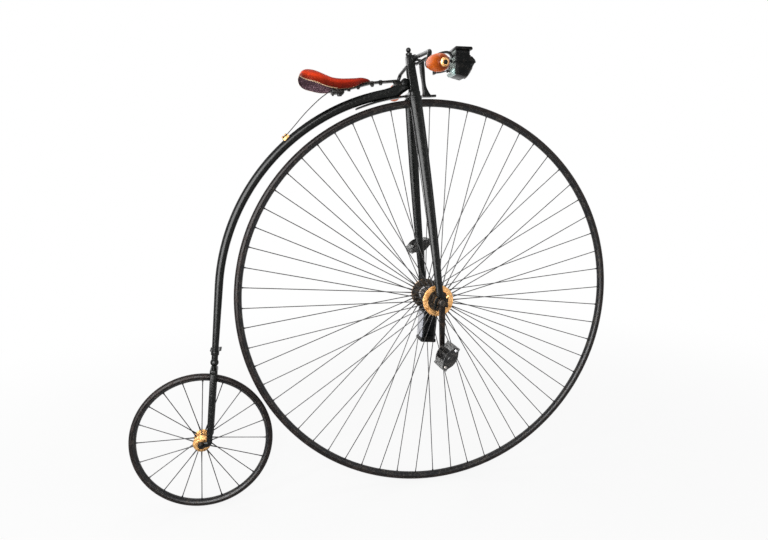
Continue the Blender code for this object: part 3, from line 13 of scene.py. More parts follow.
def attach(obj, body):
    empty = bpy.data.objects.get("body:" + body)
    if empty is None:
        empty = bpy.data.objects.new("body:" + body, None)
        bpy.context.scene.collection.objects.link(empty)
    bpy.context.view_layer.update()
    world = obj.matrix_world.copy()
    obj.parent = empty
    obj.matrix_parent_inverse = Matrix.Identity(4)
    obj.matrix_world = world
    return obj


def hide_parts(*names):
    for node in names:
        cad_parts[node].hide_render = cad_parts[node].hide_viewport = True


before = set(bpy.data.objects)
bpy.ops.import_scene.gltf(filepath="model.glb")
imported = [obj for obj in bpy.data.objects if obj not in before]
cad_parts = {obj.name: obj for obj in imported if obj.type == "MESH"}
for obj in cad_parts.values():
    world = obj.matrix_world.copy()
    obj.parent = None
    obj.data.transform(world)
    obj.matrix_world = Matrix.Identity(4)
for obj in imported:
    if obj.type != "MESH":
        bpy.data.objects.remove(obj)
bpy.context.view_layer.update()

# The studio: a pale floor at the tyres' foot that takes the shadow and fades to the white surround, soft lamps,
# and a broad card that only gloss sees.


def at(*spot):
    """Moves to a spot, given as three numbers or as one vector."""
    return Matrix.Translation(spot if len(spot) == 3 else spot[0])


def spun(degrees, axis):
    return Matrix.Rotation(math.radians(degrees), 4, axis)


def aimed(direction, front="Z"):
    """Turns the front axis to a direction."""
    return direction.to_track_quat(front, "Y").to_matrix().to_4x4()


def add(tree, kind, feeds=None, **settings):
    """A node of a kind, with its settings made and its inputs fed by values or by other nodes' sockets."""
    made = tree.nodes.new(kind)
    for key, value in settings.items():
        setattr(made, key, value)
    for key, value in (feeds or {}).items():
        socket = made.inputs[key]
        if isinstance(value, bpy.types.NodeSocket):
            tree.links.new(value, socket)
        else:
            socket.default_value = value
    return made


def maths(tree, operation, *values, **settings):
    """What a maths node makes of its values, as a socket."""
    return add(tree, "ShaderNodeMath", dict(enumerate(values)), operation=operation, **settings).outputs[0]


def ranged(tree, value, low, high, to_low=0.0, to_high=1.0, kind="LINEAR"):
    """A value mapped from one range to another, as a socket."""
    feeds = {"Value": value, "From Min": low, "From Max": high, "To Min": to_low, "To Max": to_high}
    return add(tree, "ShaderNodeMapRange", feeds, interpolation_type=kind).outputs[0]


def seen_white(tree, plain_strength):
    """1 for what the camera, gloss and glass see, and a plain strength for what lights the object."""
    path = add(tree, "ShaderNodeLightPath").outputs
    first = maths(tree, "MAXIMUM", path["Is Camera Ray"], path["Is Glossy Ray"])
    both = maths(tree, "MAXIMUM", first, path["Is Transmission Ray"])
    return ranged(tree, both, 0.0, 1.0, plain_strength)


def emptied(block):
    """The node tree of a world or material, switched on and cleared."""
    block.use_nodes = True
    block.node_tree.nodes.clear()
    return block.node_tree


def linked(name, data):
    made = bpy.data.objects.new(name, data)
    bpy.context.collection.objects.link(made)
    return made


def sheet(name, corners, place, material):
    """A flat sheet of the studio in one material."""
    mesh = bpy.data.meshes.new(name)
    mesh.from_pydata([(x, y, 0) for x, y in corners], [], [(0, 1, 2, 3)])
    mesh.materials.append(material)
    made = linked(name, mesh)
    made.matrix_world = RIDER @ place
    return made


RIDER = at(0.33, 0, -1.375)        # from the ground under the front axle to the rider's place
WHITE = (1, 1, 1, 1)

surround = bpy.data.worlds.new("white_surround")
tree = emptied(surround)
lit = add(tree, "ShaderNodeBackground", {"Color": WHITE, "Strength": seen_white(tree, 0.36)})
add(tree, "ShaderNodeOutputWorld", {"Surface": lit.outputs[0]})
bpy.context.scene.world = surround

floor_paint = bpy.data.materials.new("pale_floor")
tree = emptied(floor_paint)
pale = add(tree, "ShaderNodeBsdfDiffuse", {"Color": (0.86, 0.86, 0.86, 1)})
white = add(tree, "ShaderNodeEmission", {"Color": WHITE, "Strength": 1.0})
spot = add(tree, "ShaderNodeTexCoord").outputs["Object"]
away = add(tree, "ShaderNodeVectorMath", {0: spot}, operation="LENGTH").outputs["Value"]
fading = ranged(tree, away, 0.6, 3.2, 0.86, kind="SMOOTHSTEP")
share = maths(tree, "MULTIPLY", seen_white(tree, 0.0), fading)
mixed = add(tree, "ShaderNodeMixShader", {0: share, 1: pale.outputs[0], 2: white.outputs[0]})
add(tree, "ShaderNodeOutputMaterial", {"Surface": mixed.outputs[0]})
floor = sheet("floor", [(-9, -7), (9, -7), (9, 9), (-9, 9)], at(0, 0, -0.0005), floor_paint)

for name, place, aim, wide, high, power in (
    # softboxes: place, what they face, size, power
    ("softbox_front", (-0.9, -3.3, 1.8), (-0.2, 0, 0.9), 0.5, 2.4, 62),
    ("softbox_left", (-2.9, -2.0, 1.9), (-0.2, 0, 0.9), 0.35, 2.4, 34),
    ("softbox_right", (2.4, -2.0, 1.7), (0.0, 0, 0.8), 0.25, 2.0, 12),
    ("softbox_top", (-0.5, 0.2, 3.4), (-0.2, 0, 0.8), 1.6, 0.4, 16),
    ("softbox_back", (-0.8, 2.8, 2.2), (-0.2, 0, 0.9), 2.4, 1.4, 16),
):
    lamp = bpy.data.lights.new(name, "AREA")
    lamp.shape = "RECTANGLE"
    lamp.size, lamp.size_y, lamp.energy = wide, high, power
    linked(name, lamp).matrix_world = RIDER @ at(place) @ aimed(Vector(aim) - Vector(place), "-Z")

# The card, to the left and front, draws the long pale streaks along the black tubes.
card_glow = bpy.data.materials.new("gloss_card_white")
tree = emptied(card_glow)
card_glow.cycles.emission_sampling = "NONE"
glow = add(tree, "ShaderNodeEmission", {"Color": WHITE, "Strength": 17.0})
add(tree, "ShaderNodeOutputMaterial", {"Surface": glow.outputs[0]})
card_place = Vector((-1.8, -2.2, 1.35))
card = sheet("gloss_card", [(-1.2, -1.25), (1.2, -1.25), (1.2, 1.25), (-1.2, 1.25)],
             at(card_place) @ aimed(Vector((-0.1, 0, 1.0)) - card_place, "-Z"), card_glow)
card.visible_camera = card.visible_diffuse = card.visible_transmission = card.visible_shadow = False

camera = bpy.data.cameras.new("camera")
camera.lens, camera.sensor_width, camera.clip_start = 27.07, 36.0, 0.05
viewer = linked("camera", camera)
viewer.matrix_world = (RIDER @ at(-0.578, -1.875, 1.029) @ spun(-12.38, "Z") @ spun(90 - 7.98, "X")
                       @ spun(-0.74, "Z"))
bpy.context.scene.camera = viewer
bpy.context.scene.view_settings.view_transform = "Standard"

# The two wheels: a solid rubber tyre cemented in a thin crescent rim, and direct spokes that run, tapered at
# both ends, from the rim into the edges of the two hub flanges. The rubber is a brown-black that has gone dull;
# rim and spokes are one dark grey stove enamel.
FRONT_RADIUS, FRONT_SECTION = 0.66, 0.0115
BACK_RADIUS, BACK_SECTION = 0.2254, 0.0105
FRONT_AXLE, BACK_AXLE = at(0, 0, FRONT_RADIUS), at(-0.77965, 0, BACK_RADIUS)
AXIS = 0.00001      # the radius of an outline's points on the axis


def turn_to(side):
    """Lays Z along -Y for the right side or +Y for the left."""
    return spun(-90 * side, "X")


LIE = turn_to(1)


def noised(tree, place, size, detail, roughness):
    feeds = {"Vector": place, "Scale": size, "Detail": detail, "Roughness": roughness}
    return add(tree, "ShaderNodeTexNoise", feeds).outputs["Fac"]


def colour_mix(tree, share, first, second, mode="MIX"):
    """Two colours mixed or multiplied by a share, as a colour socket."""
    return add(tree, "ShaderNodeMix", {0: share, 6: first, 7: second}, data_type="RGBA", blend_type=mode).outputs[2]


def wear_group():
    """Mottled wear: what it puts out is a colour, a roughness and a height."""
    group = bpy.data.node_groups.new("mottled_wear", "ShaderNodeTree")
    for name, value in (("Clean", (0.5, 0.5, 0.5, 1)), ("Worn", (0.3, 0.3, 0.3, 1)), ("Size", 30.0), ("Amount", 0.4),
                        ("Shine", 0.2), ("Dull", 0.5)):
        kind = "NodeSocketFloat" if isinstance(value, float) else "NodeSocketColor"
        group.interface.new_socket(name, in_out="INPUT", socket_type=kind).default_value = value
    for name, kind in (("Color", "NodeSocketColor"), ("Roughness", "NodeSocketFloat"), ("Height", "NodeSocketFloat")):
        group.interface.new_socket(name, in_out="OUTPUT", socket_type=kind)
    given = add(group, "NodeGroupInput").outputs
    place = add(group, "ShaderNodeTexCoord").outputs["Object"]
    broad = noised(group, place, given["Size"], 6.0, 0.68)
    fine = noised(group, place, maths(group, "MULTIPLY", given["Size"], 5.3), 4.0, 0.6)
    low = maths(group, "SUBTRACT", 0.78, given["Amount"])
    mask = ranged(group, broad, low, maths(group, "ADD", low, 0.16), kind="SMOOTHSTEP")
    tone = ranged(group, fine, 0.3, 0.7, 0.78, 1.22)
    blend = colour_mix(group, mask, given["Clean"], given["Worn"])
    spread = maths(group, "ADD", maths(group, "MULTIPLY", fine, 0.7), mask, use_clamp=True)
    add(group, "NodeGroupOutput", {"Color": colour_mix(group, 1.0, blend, tone, "MULTIPLY"),
        "Roughness": ranged(group, spread, 0.15, 1.0, given["Shine"], given["Dull"]),
        "Height": maths(group, "ADD", fine, broad)})
    return group


WEAR = wear_group()


def fresh_material(name):
    """A new material with its tree and its shader's inputs."""
    made = bpy.data.materials.new(name)
    made.use_nodes = True
    return made, made.node_tree, made.node_tree.nodes["Principled BSDF"].inputs


def raise_grain(tree, inputs, height, distance, strength):
    bump = add(tree, "ShaderNodeBump", {"Height": height, "Distance": distance, "Strength": strength})
    tree.links.new(bump.outputs[0], inputs["Normal"])


def finish(name, clean, worn, size, amount, shine, dull, relief=0.0, **principled):
    """A material of mottled wear: linear colours, patches of a size and amount, two roughnesses, relief in mm."""
    made, tree, inputs = fresh_material(name)
    worked = add(tree, "ShaderNodeGroup", node_tree=WEAR)
    for socket, value in (("Clean", (*clean, 1)), ("Worn", (*worn, 1)), ("Size", size), ("Amount", amount),
                          ("Shine", shine), ("Dull", dull)):
        worked.inputs[socket].default_value = value
    tree.links.new(worked.outputs["Color"], inputs["Base Color"])
    tree.links.new(worked.outputs["Roughness"], inputs["Roughness"])
    if relief:
        raise_grain(tree, inputs, worked.outputs["Height"], relief / 1000, 1.0)
    for key, value in principled.items():
        inputs[key.replace("_", " ")].default_value = value
    return made


def skin(bm, rings, closed=True, caps=True, around=False):
    """Rings of as many points each, bridged in turn; closed rings, capped ends, or joined round end to start."""
    loops = [[bm.verts.new(point) for point in ring] for ring in rings]
    pairs = list(zip(loops, loops[1:])) + ([(loops[-1], loops[0])] if around else [])
    count = len(loops[0])
    for first, second in pairs:
        for i in range(count if closed else count - 1):
            j = (i + 1) % count
            bm.faces.new((first[i], first[j], second[j], second[i]))
    if caps and not around:
        bm.faces.new(loops[0][::-1])
        bm.faces.new(loops[-1])


def soften(outline, radius, steps=3, closed=False):
    """The outline with its corners rounded to a radius, or less where an edge is short."""
    points = [Vector(point) for point in outline]
    count = len(points)
    path = [] if closed else [points[0]]
    for i in range(0 if closed else 1, count if closed else count - 1):
        corner, before, after = points[i], points[i - 1], points[(i + 1) % count]
        back, on = before - corner, after - corner
        if back.length < 1e-7 or on.length < 1e-7:
            path.append(corner)
            continue
        reach = min(radius, back.length * 0.45, on.length * 0.45)
        start, end = corner + back.normalized() * reach, corner + on.normalized() * reach
        for k in range(steps + 1):
            t = k / steps
            path.append(start * (1 - t) ** 2 + corner * (2 * t * (1 - t)) + end * t ** 2)
    if not closed:
        path.append(points[-1])
    return [tuple(point) for point in path]


def circle(steps, radius=1.0):
    turns = [2 * math.pi * k / steps for k in range(steps)]
    return [(radius * math.cos(turn), radius * math.sin(turn)) for turn in turns]


def lathe(bm, outline, place, steps=64, closed=False, blunt=0.0, fine=3):
    """An outline of (radius, height) points turned about the place's Z. An open one starts and ends on the axis."""
    if blunt:
        outline = soften(outline, blunt, fine)
    rings = []
    for i in range(steps):
        spin = place @ Matrix.Rotation(2 * math.pi * i / steps, 4, "Z")
        rings.append([spin @ Vector((max(radius, AXIS), 0, height)) for radius, height in outline])
    skin(bm, rings, closed=closed, caps=False, around=True)


def pin(bm, outline, place, steps, blunt=0.0, fine=3):
    """A turned solid: the outline is closed to the axis at both its ends."""
    lathe(bm, [(AXIS, outline[0][1]), *outline, (AXIS, outline[-1][1])], place, steps, blunt=blunt, fine=fine)


def shown(name, bm, materials, body, node=None, sharp=32, place=None):
    """The mesh as a smooth piece that rides on its body and stands for its node."""
    bmesh.ops.remove_doubles(bm, verts=bm.verts, dist=2e-6)
    bmesh.ops.recalc_face_normals(bm, faces=bm.faces)
    mesh = bpy.data.meshes.new(name)
    bm.to_mesh(mesh)
    bm.free()
    mesh.shade_smooth()
    mesh.set_sharp_from_angle(angle=math.radians(sharp))
    made = linked(name, mesh)
    for material in materials if isinstance(materials, list) else [materials]:
        mesh.materials.append(material)
    made.matrix_world = RIDER @ (place or Matrix.Identity(4))
    bpy.context.view_layer.update()
    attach(made, body)
    if node:
        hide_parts(node)
    return made


rubber = finish("brown_black_rubber", (0.0085, 0.0065, 0.006), (0.018, 0.013, 0.0115), 45, 0.3, 0.26, 0.5, 0.2,
                Specular_IOR_Level=0.13)
spoke_enamel = finish("dark_grey_enamel", (0.01, 0.01, 0.011), (0.03, 0.026, 0.022), 70, 0.3, 0.24, 0.5, 0.12,
                      Specular_IOR_Level=0.2)

for name, radius, section, axle, steps in (("front", FRONT_RADIUS, FRONT_SECTION, FRONT_AXLE, 300),
        ("rear", BACK_RADIUS, BACK_SECTION, BACK_AXLE, 160)):
    bm = bmesh.new()
    outline = []
    for out, up in circle(22):
        flat = 1 - 0.035 * max(0.0, out) ** 6       # the tread has worn a little flat
        outline.append((radius - section + section * flat * out, section * up))
    lathe(bm, outline, axle @ LIE, steps, closed=True)
    shown(f"{name}_wheel_tyre", bm, rubber, f"{name}_wheel", f"{name}_tyre")

STOUT = 0.0015      # the spokes' radius between their butts
for name, radius, section, axle, steps, count, phase, offset, foot in (
    # spokes: number, phase in degrees, the flange's offset and radius
    ("front", FRONT_RADIUS, FRONT_SECTION, FRONT_AXLE, 240, 60, 0.4, 0.0717, 0.052),
    ("rear", BACK_RADIUS, BACK_SECTION, BACK_AXLE, 128, 20, 14.6, 0.023, 0.028),
):
    bm = bmesh.new()
    middle = radius - section
    bed, wall = section + 0.00036, 0.0022
    reach = math.radians(72)
    outline = []
    for i in range(9):
        turn = -reach + 2 * reach * i / 8
        outline.append((middle - bed * math.cos(turn), bed * math.sin(turn)))
    for i in range(11):
        turn = reach - 2 * reach * i / 10
        rolled = bed + wall * min(1.0, 0.72 + 3.2 * (1 - abs(turn) / reach))
        outline.append((middle - rolled * math.cos(turn * 1.015), rolled * math.sin(turn * 1.015)))
    lathe(bm, outline, axle @ LIE, steps, closed=True)
    for i in range(count):
        side = 1 if i % 2 else -1
        turn = math.radians(phase) + 2 * math.pi * i / count
        out = Vector((math.cos(turn), 0, math.sin(turn)))
        start = out * (foot - 0.002) + Vector((0, side * offset, 0))
        end = out * (middle - bed - wall * 0.6) + Vector((0, side * 0.003, 0))
        along = (end - start).normalized()
        across = along.cross(out).normalized()
        up = along.cross(across)
        length = (end - start).length
        rings = []
        for place, thick in ((0, 1.55), (0.006, 1.5), (0.03, 1.12), (0.045, 1.0), (length - 0.03, 1.0),
                             (length - 0.012, 1.12), (length - 0.0045, 1.2), (length - 0.004, 1.75), (length, 1.85)):
            here = axle @ (start + along * place)
            rings.append([here + (across * u + up * v) * STOUT * thick for u, v in circle(8)])
        skin(bm, rings)
    shown(f"{name}_wheel_rim_and_spokes", bm, spoke_enamel, f"{name}_wheel", f"{name}_rim_and_spokes")

# The front hub: a steel barrel that runs on as the axle's journals, between two brass flanges. Each flange has a
# bright raised ring whose edge takes the spokes; its dished middle and its face towards the wheel's middle are
# painted dark brown, partly for old oil and partly as painted shade.
HUB_OUT, HUB_HALF = 0.0717, 0.0033      # a flange's middle from the wheel's, and half its thickness
SIDES = (("R", -1), ("L", 1))
brass = finish("warm_brass", (0.74, 0.41, 0.165), (0.3, 0.13, 0.035), 60, 0.3, 0.27, 0.46, 0.15, Metallic=1)
oil_and_shade_brass = finish("oil_and_painted_shade_brass", (0.014, 0.0105, 0.0075), (0.05, 0.032, 0.017), 110, 0.28, 0.28, 0.55, 0.25,
                     Metallic=0.4)
steel = finish("worn_bright_steel", (0.36, 0.36, 0.37), (0.16, 0.145, 0.13), 90, 0.34, 0.22, 0.5, 0.12, Metallic=1)

bm = bmesh.new()
side_profile = [(0.0001, 0.1237), (0.0085, 0.1237), (0.011, 0.1222), (0.011, 0.0795), (0.0155, 0.0752),
                (0.0155, 0.0684), (0.027, 0.0682), (0.027, 0.064), (0.0232, 0.06), (0.0215, 0.05), (0.0215, 0.015)]
outline = soften(side_profile, 0.0012)
outline += [(radius, -height) for radius, height in reversed(outline)]
lathe(bm, outline, FRONT_AXLE @ LIE, 64)
for face in bm.faces:
    face.material_index = int(abs(face.calc_center_median().y) > 0.07)
shown("front_wheel_hub", bm, [steel, oil_and_shade_brass], "front_wheel", "front_hub")

for label, side in SIDES:
    bm = bmesh.new()
    inner, outer = HUB_OUT - HUB_HALF, HUB_OUT + HUB_HALF
    ring = soften([(0.034, outer - 0.0026), (0.035, outer), (0.052, outer), (0.052, inner), (0.0345, inner),
                   (0.0335, inner + 0.0018)], 0.0009, 4)
    dish = [(0.0159, inner + 0.0012), (0.0159, outer - 0.0012), (0.02, outer - 0.0012), (0.0215, outer - 0.003)]
    lathe(bm, dish + ring + [(0.024, inner + 0.0018)], FRONT_AXLE @ turn_to(side), 96, closed=True)
    # the dish and the inner face take the dark brass: old oil, and painted shade of the recess and of the wheel's
    # inside
    for face in bm.faces:
        centre = face.calc_center_median() - FRONT_AXLE.translation
        face.material_index = int(math.hypot(centre.x, centre.z) < 0.0343 or abs(centre.y) < HUB_OUT - 0.0022)
    shown(f"front_wheel_flange_{label}", bm, [brass, oil_and_shade_brass], "front_wheel", f"hub_flange_{label}")

# The cranks: slightly tapered flat arms keyed on the hub's journals by a round boss and a crossing pin. They are
# black enamelled and rubbed brown in patches; the journal's end shows as a dark disc in the boss.
enamel = finish("black_enamel", (0.0018, 0.0024, 0.0022), (0.0075, 0.0078, 0.007), 130, 0.32, 0.09, 0.27, 0.22,
                Specular_IOR_Level=0.17)
rubbed_enamel = finish("rubbed_brown_enamel", (0.0042, 0.0032, 0.0027), (0.02, 0.012, 0.0075), 60, 0.32, 0.16, 0.42,
                       0.22, Specular_IOR_Level=0.16)


def sweep(bm, path, shape, level=Vector((0, 1, 0)), sizes=None):
    """A closed section of (level, across) points swept along a path, scaled by a pair of sizes at each point."""
    rings = []
    for i, here in enumerate(path):
        ahead = (path[min(i + 1, len(path) - 1)] - path[max(i - 1, 0)]).normalized()
        side = (level - ahead * level.dot(ahead)).normalized()
        up = ahead.cross(side)
        wide, high = sizes[i] if sizes else (1, 1)
        rings.append([here + side * (u * wide) + up * (v * high) for u, v in shape])
    skin(bm, rings)


def stack(bm, section, levels, put):
    """A section at (height, size) levels, each point (u, v, height) put in place by a function."""
    skin(bm, [[put(u * size, v * size, height) for u, v in section] for height, size in levels])


def oblong(wide, high, corner, steps=3):
    """A rounded rectangle of that width and height about its middle."""
    w, h = wide / 2, high / 2
    return soften([(w, h), (-w, h), (-w, -h), (w, -h)], corner, steps, closed=True)


def even(points, steps):
    """A smooth curve through the points, evenly stepped between each two."""
    path = []
    count = len(points)
    for i in range(count - 1):
        a, b, c, d = points[max(i - 1, 0)], points[i], points[i + 1], points[min(i + 2, count - 1)]
        for k in range(steps):
            t = k / steps
            path.append(0.5 * ((2 * b) + (c - a) * t + (2 * a - 5 * b + 4 * c - d) * t * t + (3 * b - 3 * c + d - a)
                               * t ** 3))
    path.append(points[-1])
    return path


THROW = 0.163
for label, side in SIDES:
    bm = bmesh.new()
    down, middle = -side, side * 0.11575
    stations = [(-0.006, 0.02), (0, 0.0215), (0.06, 0.0196), (0.12, 0.0174), (0.16, 0.0158), (0.167, 0.013),
                (0.1697, 0.008)]
    path = [Vector((0, middle, -down * place)) for place, _ in stations]
    sizes = [(0.0095 * (1 if i < 5 else 0.86 - 0.2 * (i - 5)), wide) for i, (_, wide) in enumerate(stations)]
    sweep(bm, path, oblong(1, 1, 0.24), sizes=sizes)
    boss = soften([(0.0113, 0.1082), (0.0155, 0.1082), (0.0155, 0.123), (0.0113, 0.123)], 0.0016, 4)
    lathe(bm, boss + [(0.0113, 0.12)], turn_to(side), 56, closed=True)
    key = at(0, middle + side * 0.001, 0) @ spun(90, "Y")
    pin(bm, [(0.003, -0.0175), (0.003, 0.016), (0.0038, 0.0162), (0.0038, 0.0184)], key @ at(0.0122 * down, 0, 0),
        24, 0.0006)
    shown(f"crank_arm_{label}", bm, rubbed_enamel, "front_wheel", f"crank_{label}", place=FRONT_AXLE)
    bm = bmesh.new()
    pin(bm, [(0.0055, 0.114), (0.0055, 0.1975), (0.0042, 0.1992)], turn_to(side), 28, 0.0008)
    shown(f"pedal_pin_{label}", bm, steel, "front_wheel", None, place=FRONT_AXLE @ at(0, 0, -down * THROW))

# The pedals: dark steel end plates with rounded lobes, joined by a tube on the crank's pin and by two bolts that
# run through square blocks of hard grey rubber. Each block is grooved along its faces for grip.
pedal_steel = finish("dark_plate_steel", (0.0045, 0.0047, 0.005), (0.026, 0.024, 0.022), 110, 0.34, 0.14, 0.42, 0.15,
                     Specular_IOR_Level=0.3)
block_rubber = finish("grey_block_rubber", (0.26, 0.262, 0.258), (0.07, 0.068, 0.066), 95, 0.34, 0.5, 0.8, 0.45,
                      Specular_IOR_Level=0.3)
PEDAL_IN, PEDAL_OUT, PEDAL_BOLT = 0.1245, 0.2035, 0.031      # the cage's ends, and its bolts from the pin
for label, side, tilt in (("R", -1, 55.9), ("L", 1, 24.4)):
    place = FRONT_AXLE @ at(0, 0, side * THROW) @ spun(-tilt, "Y")
    body = "right_pedal" if side < 0 else "left_pedal"
    bm = bmesh.new()
    lobes = []
    for c, s in circle(56):
        if abs(c) > 0.6:
            lobes.append((math.copysign(PEDAL_BOLT, c) + 0.009 * c, 0.0095 * s))
        else:
            lobes.append((0.02 * c / 0.6, 0.02 * s))
    lobes = soften(lobes, 0.004, 2, closed=True)
    for inner, outer in ((PEDAL_IN, PEDAL_IN + 0.0025), (PEDAL_OUT - 0.0025, PEDAL_OUT)):
        levels = ((inner, 0.975), (inner + 0.0005, 1), (outer - 0.0005, 1), (outer, 0.975))
        stack(bm, lobes, levels, lambda u, v, y: (u, side * y, v))
    lathe(bm, [(0.0062, PEDAL_IN + 0.001), (0.0093, PEDAL_IN + 0.001), (0.0093, PEDAL_OUT - 0.001),
               (0.0062, PEDAL_OUT - 0.001)], turn_to(side), 36, closed=True)
    lathe(bm, [(AXIS, PEDAL_OUT - 0.001), (0.0098, PEDAL_OUT - 0.001), (0.0098, PEDAL_OUT + 0.0006),
               (0.0072, PEDAL_OUT + 0.0022), (AXIS, PEDAL_OUT + 0.0024)], turn_to(side), 32, blunt=0.0008)
    for end in (-1, 1):
        at_end = at(end * PEDAL_BOLT, 0, 0) @ turn_to(side)
        lathe(bm, [(AXIS, PEDAL_IN - 0.0006), (0.0032, PEDAL_IN - 0.0006), (0.0032, PEDAL_OUT), (AXIS, PEDAL_OUT)],
              at_end, 20)
        lathe(bm, [(AXIS, PEDAL_OUT - 0.0005), (0.0052, PEDAL_OUT - 0.0005), (0.0052, PEDAL_OUT + 0.0016),
                   (0.003, PEDAL_OUT + 0.003), (AXIS, PEDAL_OUT + 0.0031)], at_end, 24, blunt=0.0007)
    for face in bm.faces:
        centre = face.calc_center_median()
        bolt = math.hypot(abs(centre.x) - PEDAL_BOLT, centre.z) < 0.0053 and side * centre.y > PEDAL_OUT + 0.0001
        face.material_index = int(bolt)
    shown(f"pedal_frame_{label}", bm, [pedal_steel, steel], body, f"pedal_{label}_cage", place=place)
    for end, where in ((-1, "rear"), (1, "front")):
        bm = bmesh.new()
        block = []
        for quarter in range(4):
            # a square section, each face with two shallow grooves
            spin = Matrix.Rotation(math.radians(90 * quarter), 2)
            face = [(0.0089, -0.0111), (0.0106, -0.0104), (0.0113, -0.0087), (0.0113, -0.005), (0.0101, -0.0044),
                    (0.0101, -0.003), (0.0113, -0.0024), (0.0113, 0.0024), (0.0101, 0.003), (0.0101, 0.0044),
                    (0.0113, 0.005), (0.0113, 0.0087), (0.0106, 0.0104)]
            block += [tuple(spin @ Vector(point)) for point in face]
        lengths = [(PEDAL_IN + 0.0029, 0.9), (PEDAL_IN + 0.0038, 0.99), (PEDAL_IN + 0.006, 1),
                   (PEDAL_OUT - 0.006, 1), (PEDAL_OUT - 0.0038, 0.99), (PEDAL_OUT - 0.0029, 0.9)]
        stack(bm, block, lengths, lambda u, v, y: (u, side * y, v))
        shown(f"pedal_block_{label}_{where}", bm, block_rubber, body, f"pedal_{label}_rubber_{where}",
              sharp=25, place=place @ at(end * PEDAL_BOLT, 0, 0))

# The front fork: two tapered oval tubes brazed into the crown, that bow out to the split bearing boxes at the hub.
# Each box is clamped by two cap screws and has a brass oiler; all is black enamelled and mirrors the room.
STEER = FRONT_AXLE @ spun(-5.4, "Y")
LEG_FOOT, LEG_TOP = 0.0129, 0.6657
for label, side in SIDES:
    bm = bmesh.new()
    path, sizes = [], []
    for i in range(37):
        up = LEG_FOOT + (LEG_TOP - LEG_FOOT) * i / 36
        t = up / 0.666
        path.append(Vector((0, side * (0.029 + 0.068 * (1 - t * t)), up)))
        collar = 1 + 0.16 * math.exp(-((up - 0.655) / 0.01) ** 2) + 0.2 * math.exp(-((up - 0.026) / 0.012) ** 2)
        sizes.append(((0.0068 + 0.0024 * t) * collar, (0.0118 + 0.0077 * t) * min(collar, 1.05)))
    sweep(bm, path, circle(40), sizes=sizes)
    box = soften([(0.0122, 0.087), (0.0235, 0.087), (0.0235, 0.107), (0.0122, 0.107)], 0.0022, 4)
    lathe(bm, box, turn_to(side), 64, closed=True)
    for across in (-1, 1):
        # the clamp's ears and their cap screws
        ear = at(across * 0.0205, side * 0.097, -0.0115)
        pin(bm, [(0.0052, -0.009), (0.0052, 0.011), (0.0038, 0.0128), (0.0022, 0.0132)], ear, 24, 0.0008)
    shown(f"fork_tube_{label}", bm, enamel, "fork", f"fork_leg_{label}", place=STEER, sharp=38)
    bm = bmesh.new()
    spike = soften([(AXIS, 0), (0.0045, 0), (0.0045, 0.0055), (0.006, 0.0066), (0.006, 0.01), (0.004, 0.0112),
                    (0.0024, 0.0128), (0.0016, 0.0138), (AXIS, 0.014)], 0.0005)
    lathe(bm, spike, Matrix.Identity(4), 28)
    shown(f"oiler_{label}", bm, brass, "fork", f"bearing_oiler_{label}",
          place=STEER @ at(0, side * 0.097, 0) @ spun(63, "Y") @ at(0, 0, 0.0238))

# The steering head: one forging of crown and open head, tapered upwards, with flats and blunt edges. The bolt on top
# holds the spindle by its cone, with a turned collar and a ball, black enamelled like the head.
CROWN_TOP, BAR_UP, BAR_ON = 0.681, 0.786, 0.0138
bm = bmesh.new()
crown = oblong(0.0764, 0.035, 0.01, 5)
rings = []
for up, size in ((0.666, 0.93), (0.6675, 0.985), (0.67, 1), (0.6765, 1), (0.6795, 0.985), (0.681, 0.93)):
    rings.append([Vector((v * size, u * (1 - (1 - size) * 0.5), up)) for u, v in crown])
skin(bm, rings)
for cheek in (-1, 1):
    # the two cheeks of the open head stand on the crown and meet in its top, cut back where the neck swings
    rings = []
    for up, front, rear, half, opening, cut in (
        # height, reach to the front and rear, half width, half opening, and what is cut off the rear
        (0.679, 0.0215, 0.014, 0.0185, 0.0102, 0), (0.684, 0.0208, 0.0118, 0.0158, 0.0104, 0),
        (0.6876, 0.0207, 0.01, 0.0154, 0.0105, 0.0044), (0.7295, 0.0176, 0.01, 0.0143, 0.0105, 0.0044),
        (0.7325, 0.0173, 0.0108, 0.0142, 0.0105, 0), (0.756, 0.0155, 0.0112, 0.0137, 0.0105, 0),
        (0.766, 0.0147, 0.0112, 0.0135, 0.009, 0), (0.77, 0.0144, 0.0112, 0.0134, 0.002, 0),
    ):
        ring = soften([(cut - rear, opening), (-rear, half), (front, half), (front, -0.0005),
                       (opening * 0.9, -0.0005), (opening * 0.45, opening * 0.9)], 0.003, 4, closed=True)
        rings.append([Vector((x, cheek * y, up)) for x, y in ring])
    skin(bm, rings)
rings = []
for up, front, rear, half in (
    # the head's top, by height, reach to the front and rear, and half width
    (0.7672, 0.0146, 0.011, 0.0133), (0.792, 0.0127, 0.0112, 0.013), (0.7955, 0.012, 0.0106, 0.0122),
    (0.7975, 0.01, 0.0086, 0.0102),
):
    ring = soften([(-rear, half), (front, half), (front, -half), (-rear, -half)], 0.0042, 4, closed=True)
    rings.append([Vector((x, y, up)) for x, y in ring])
skin(bm, rings)
lug = soften([(0.0066, -0.018), (0.0109, -0.018), (0.0109, 0.018), (0.0066, 0.018)], 0.0012, 3)
lathe(bm, lug, at(BAR_ON, 0, BAR_UP) @ LIE, 48, closed=True)
shown("steering_head_forging", bm, enamel, "fork", "steering_head", place=STEER, sharp=40)


def arc(radius, middle, start, end):
    """A ball's outline about its middle height, between two angles from its foot."""
    turns = [start + (end - start) * i / 12 for i in range(13)]
    return [(radius * math.sin(turn), middle - radius * math.cos(turn)) for turn in turns]


bm = bmesh.new()
profile = soften([(AXIS, 0.7665), (0.0048, 0.7665), (0.0048, 0.7978), (0.0105, 0.7978), (0.0105, 0.8038),
                  (0.009, 0.805), (0.0056, 0.8054)], 0.0008)
lathe(bm, profile + [(0.0052, 0.8072)] + arc(0.0082, 0.81425, 0.62, math.pi), Matrix.Identity(4), 48)
shown("head_bolt_and_ball", bm, enamel, "fork", "head_bolt", place=STEER)

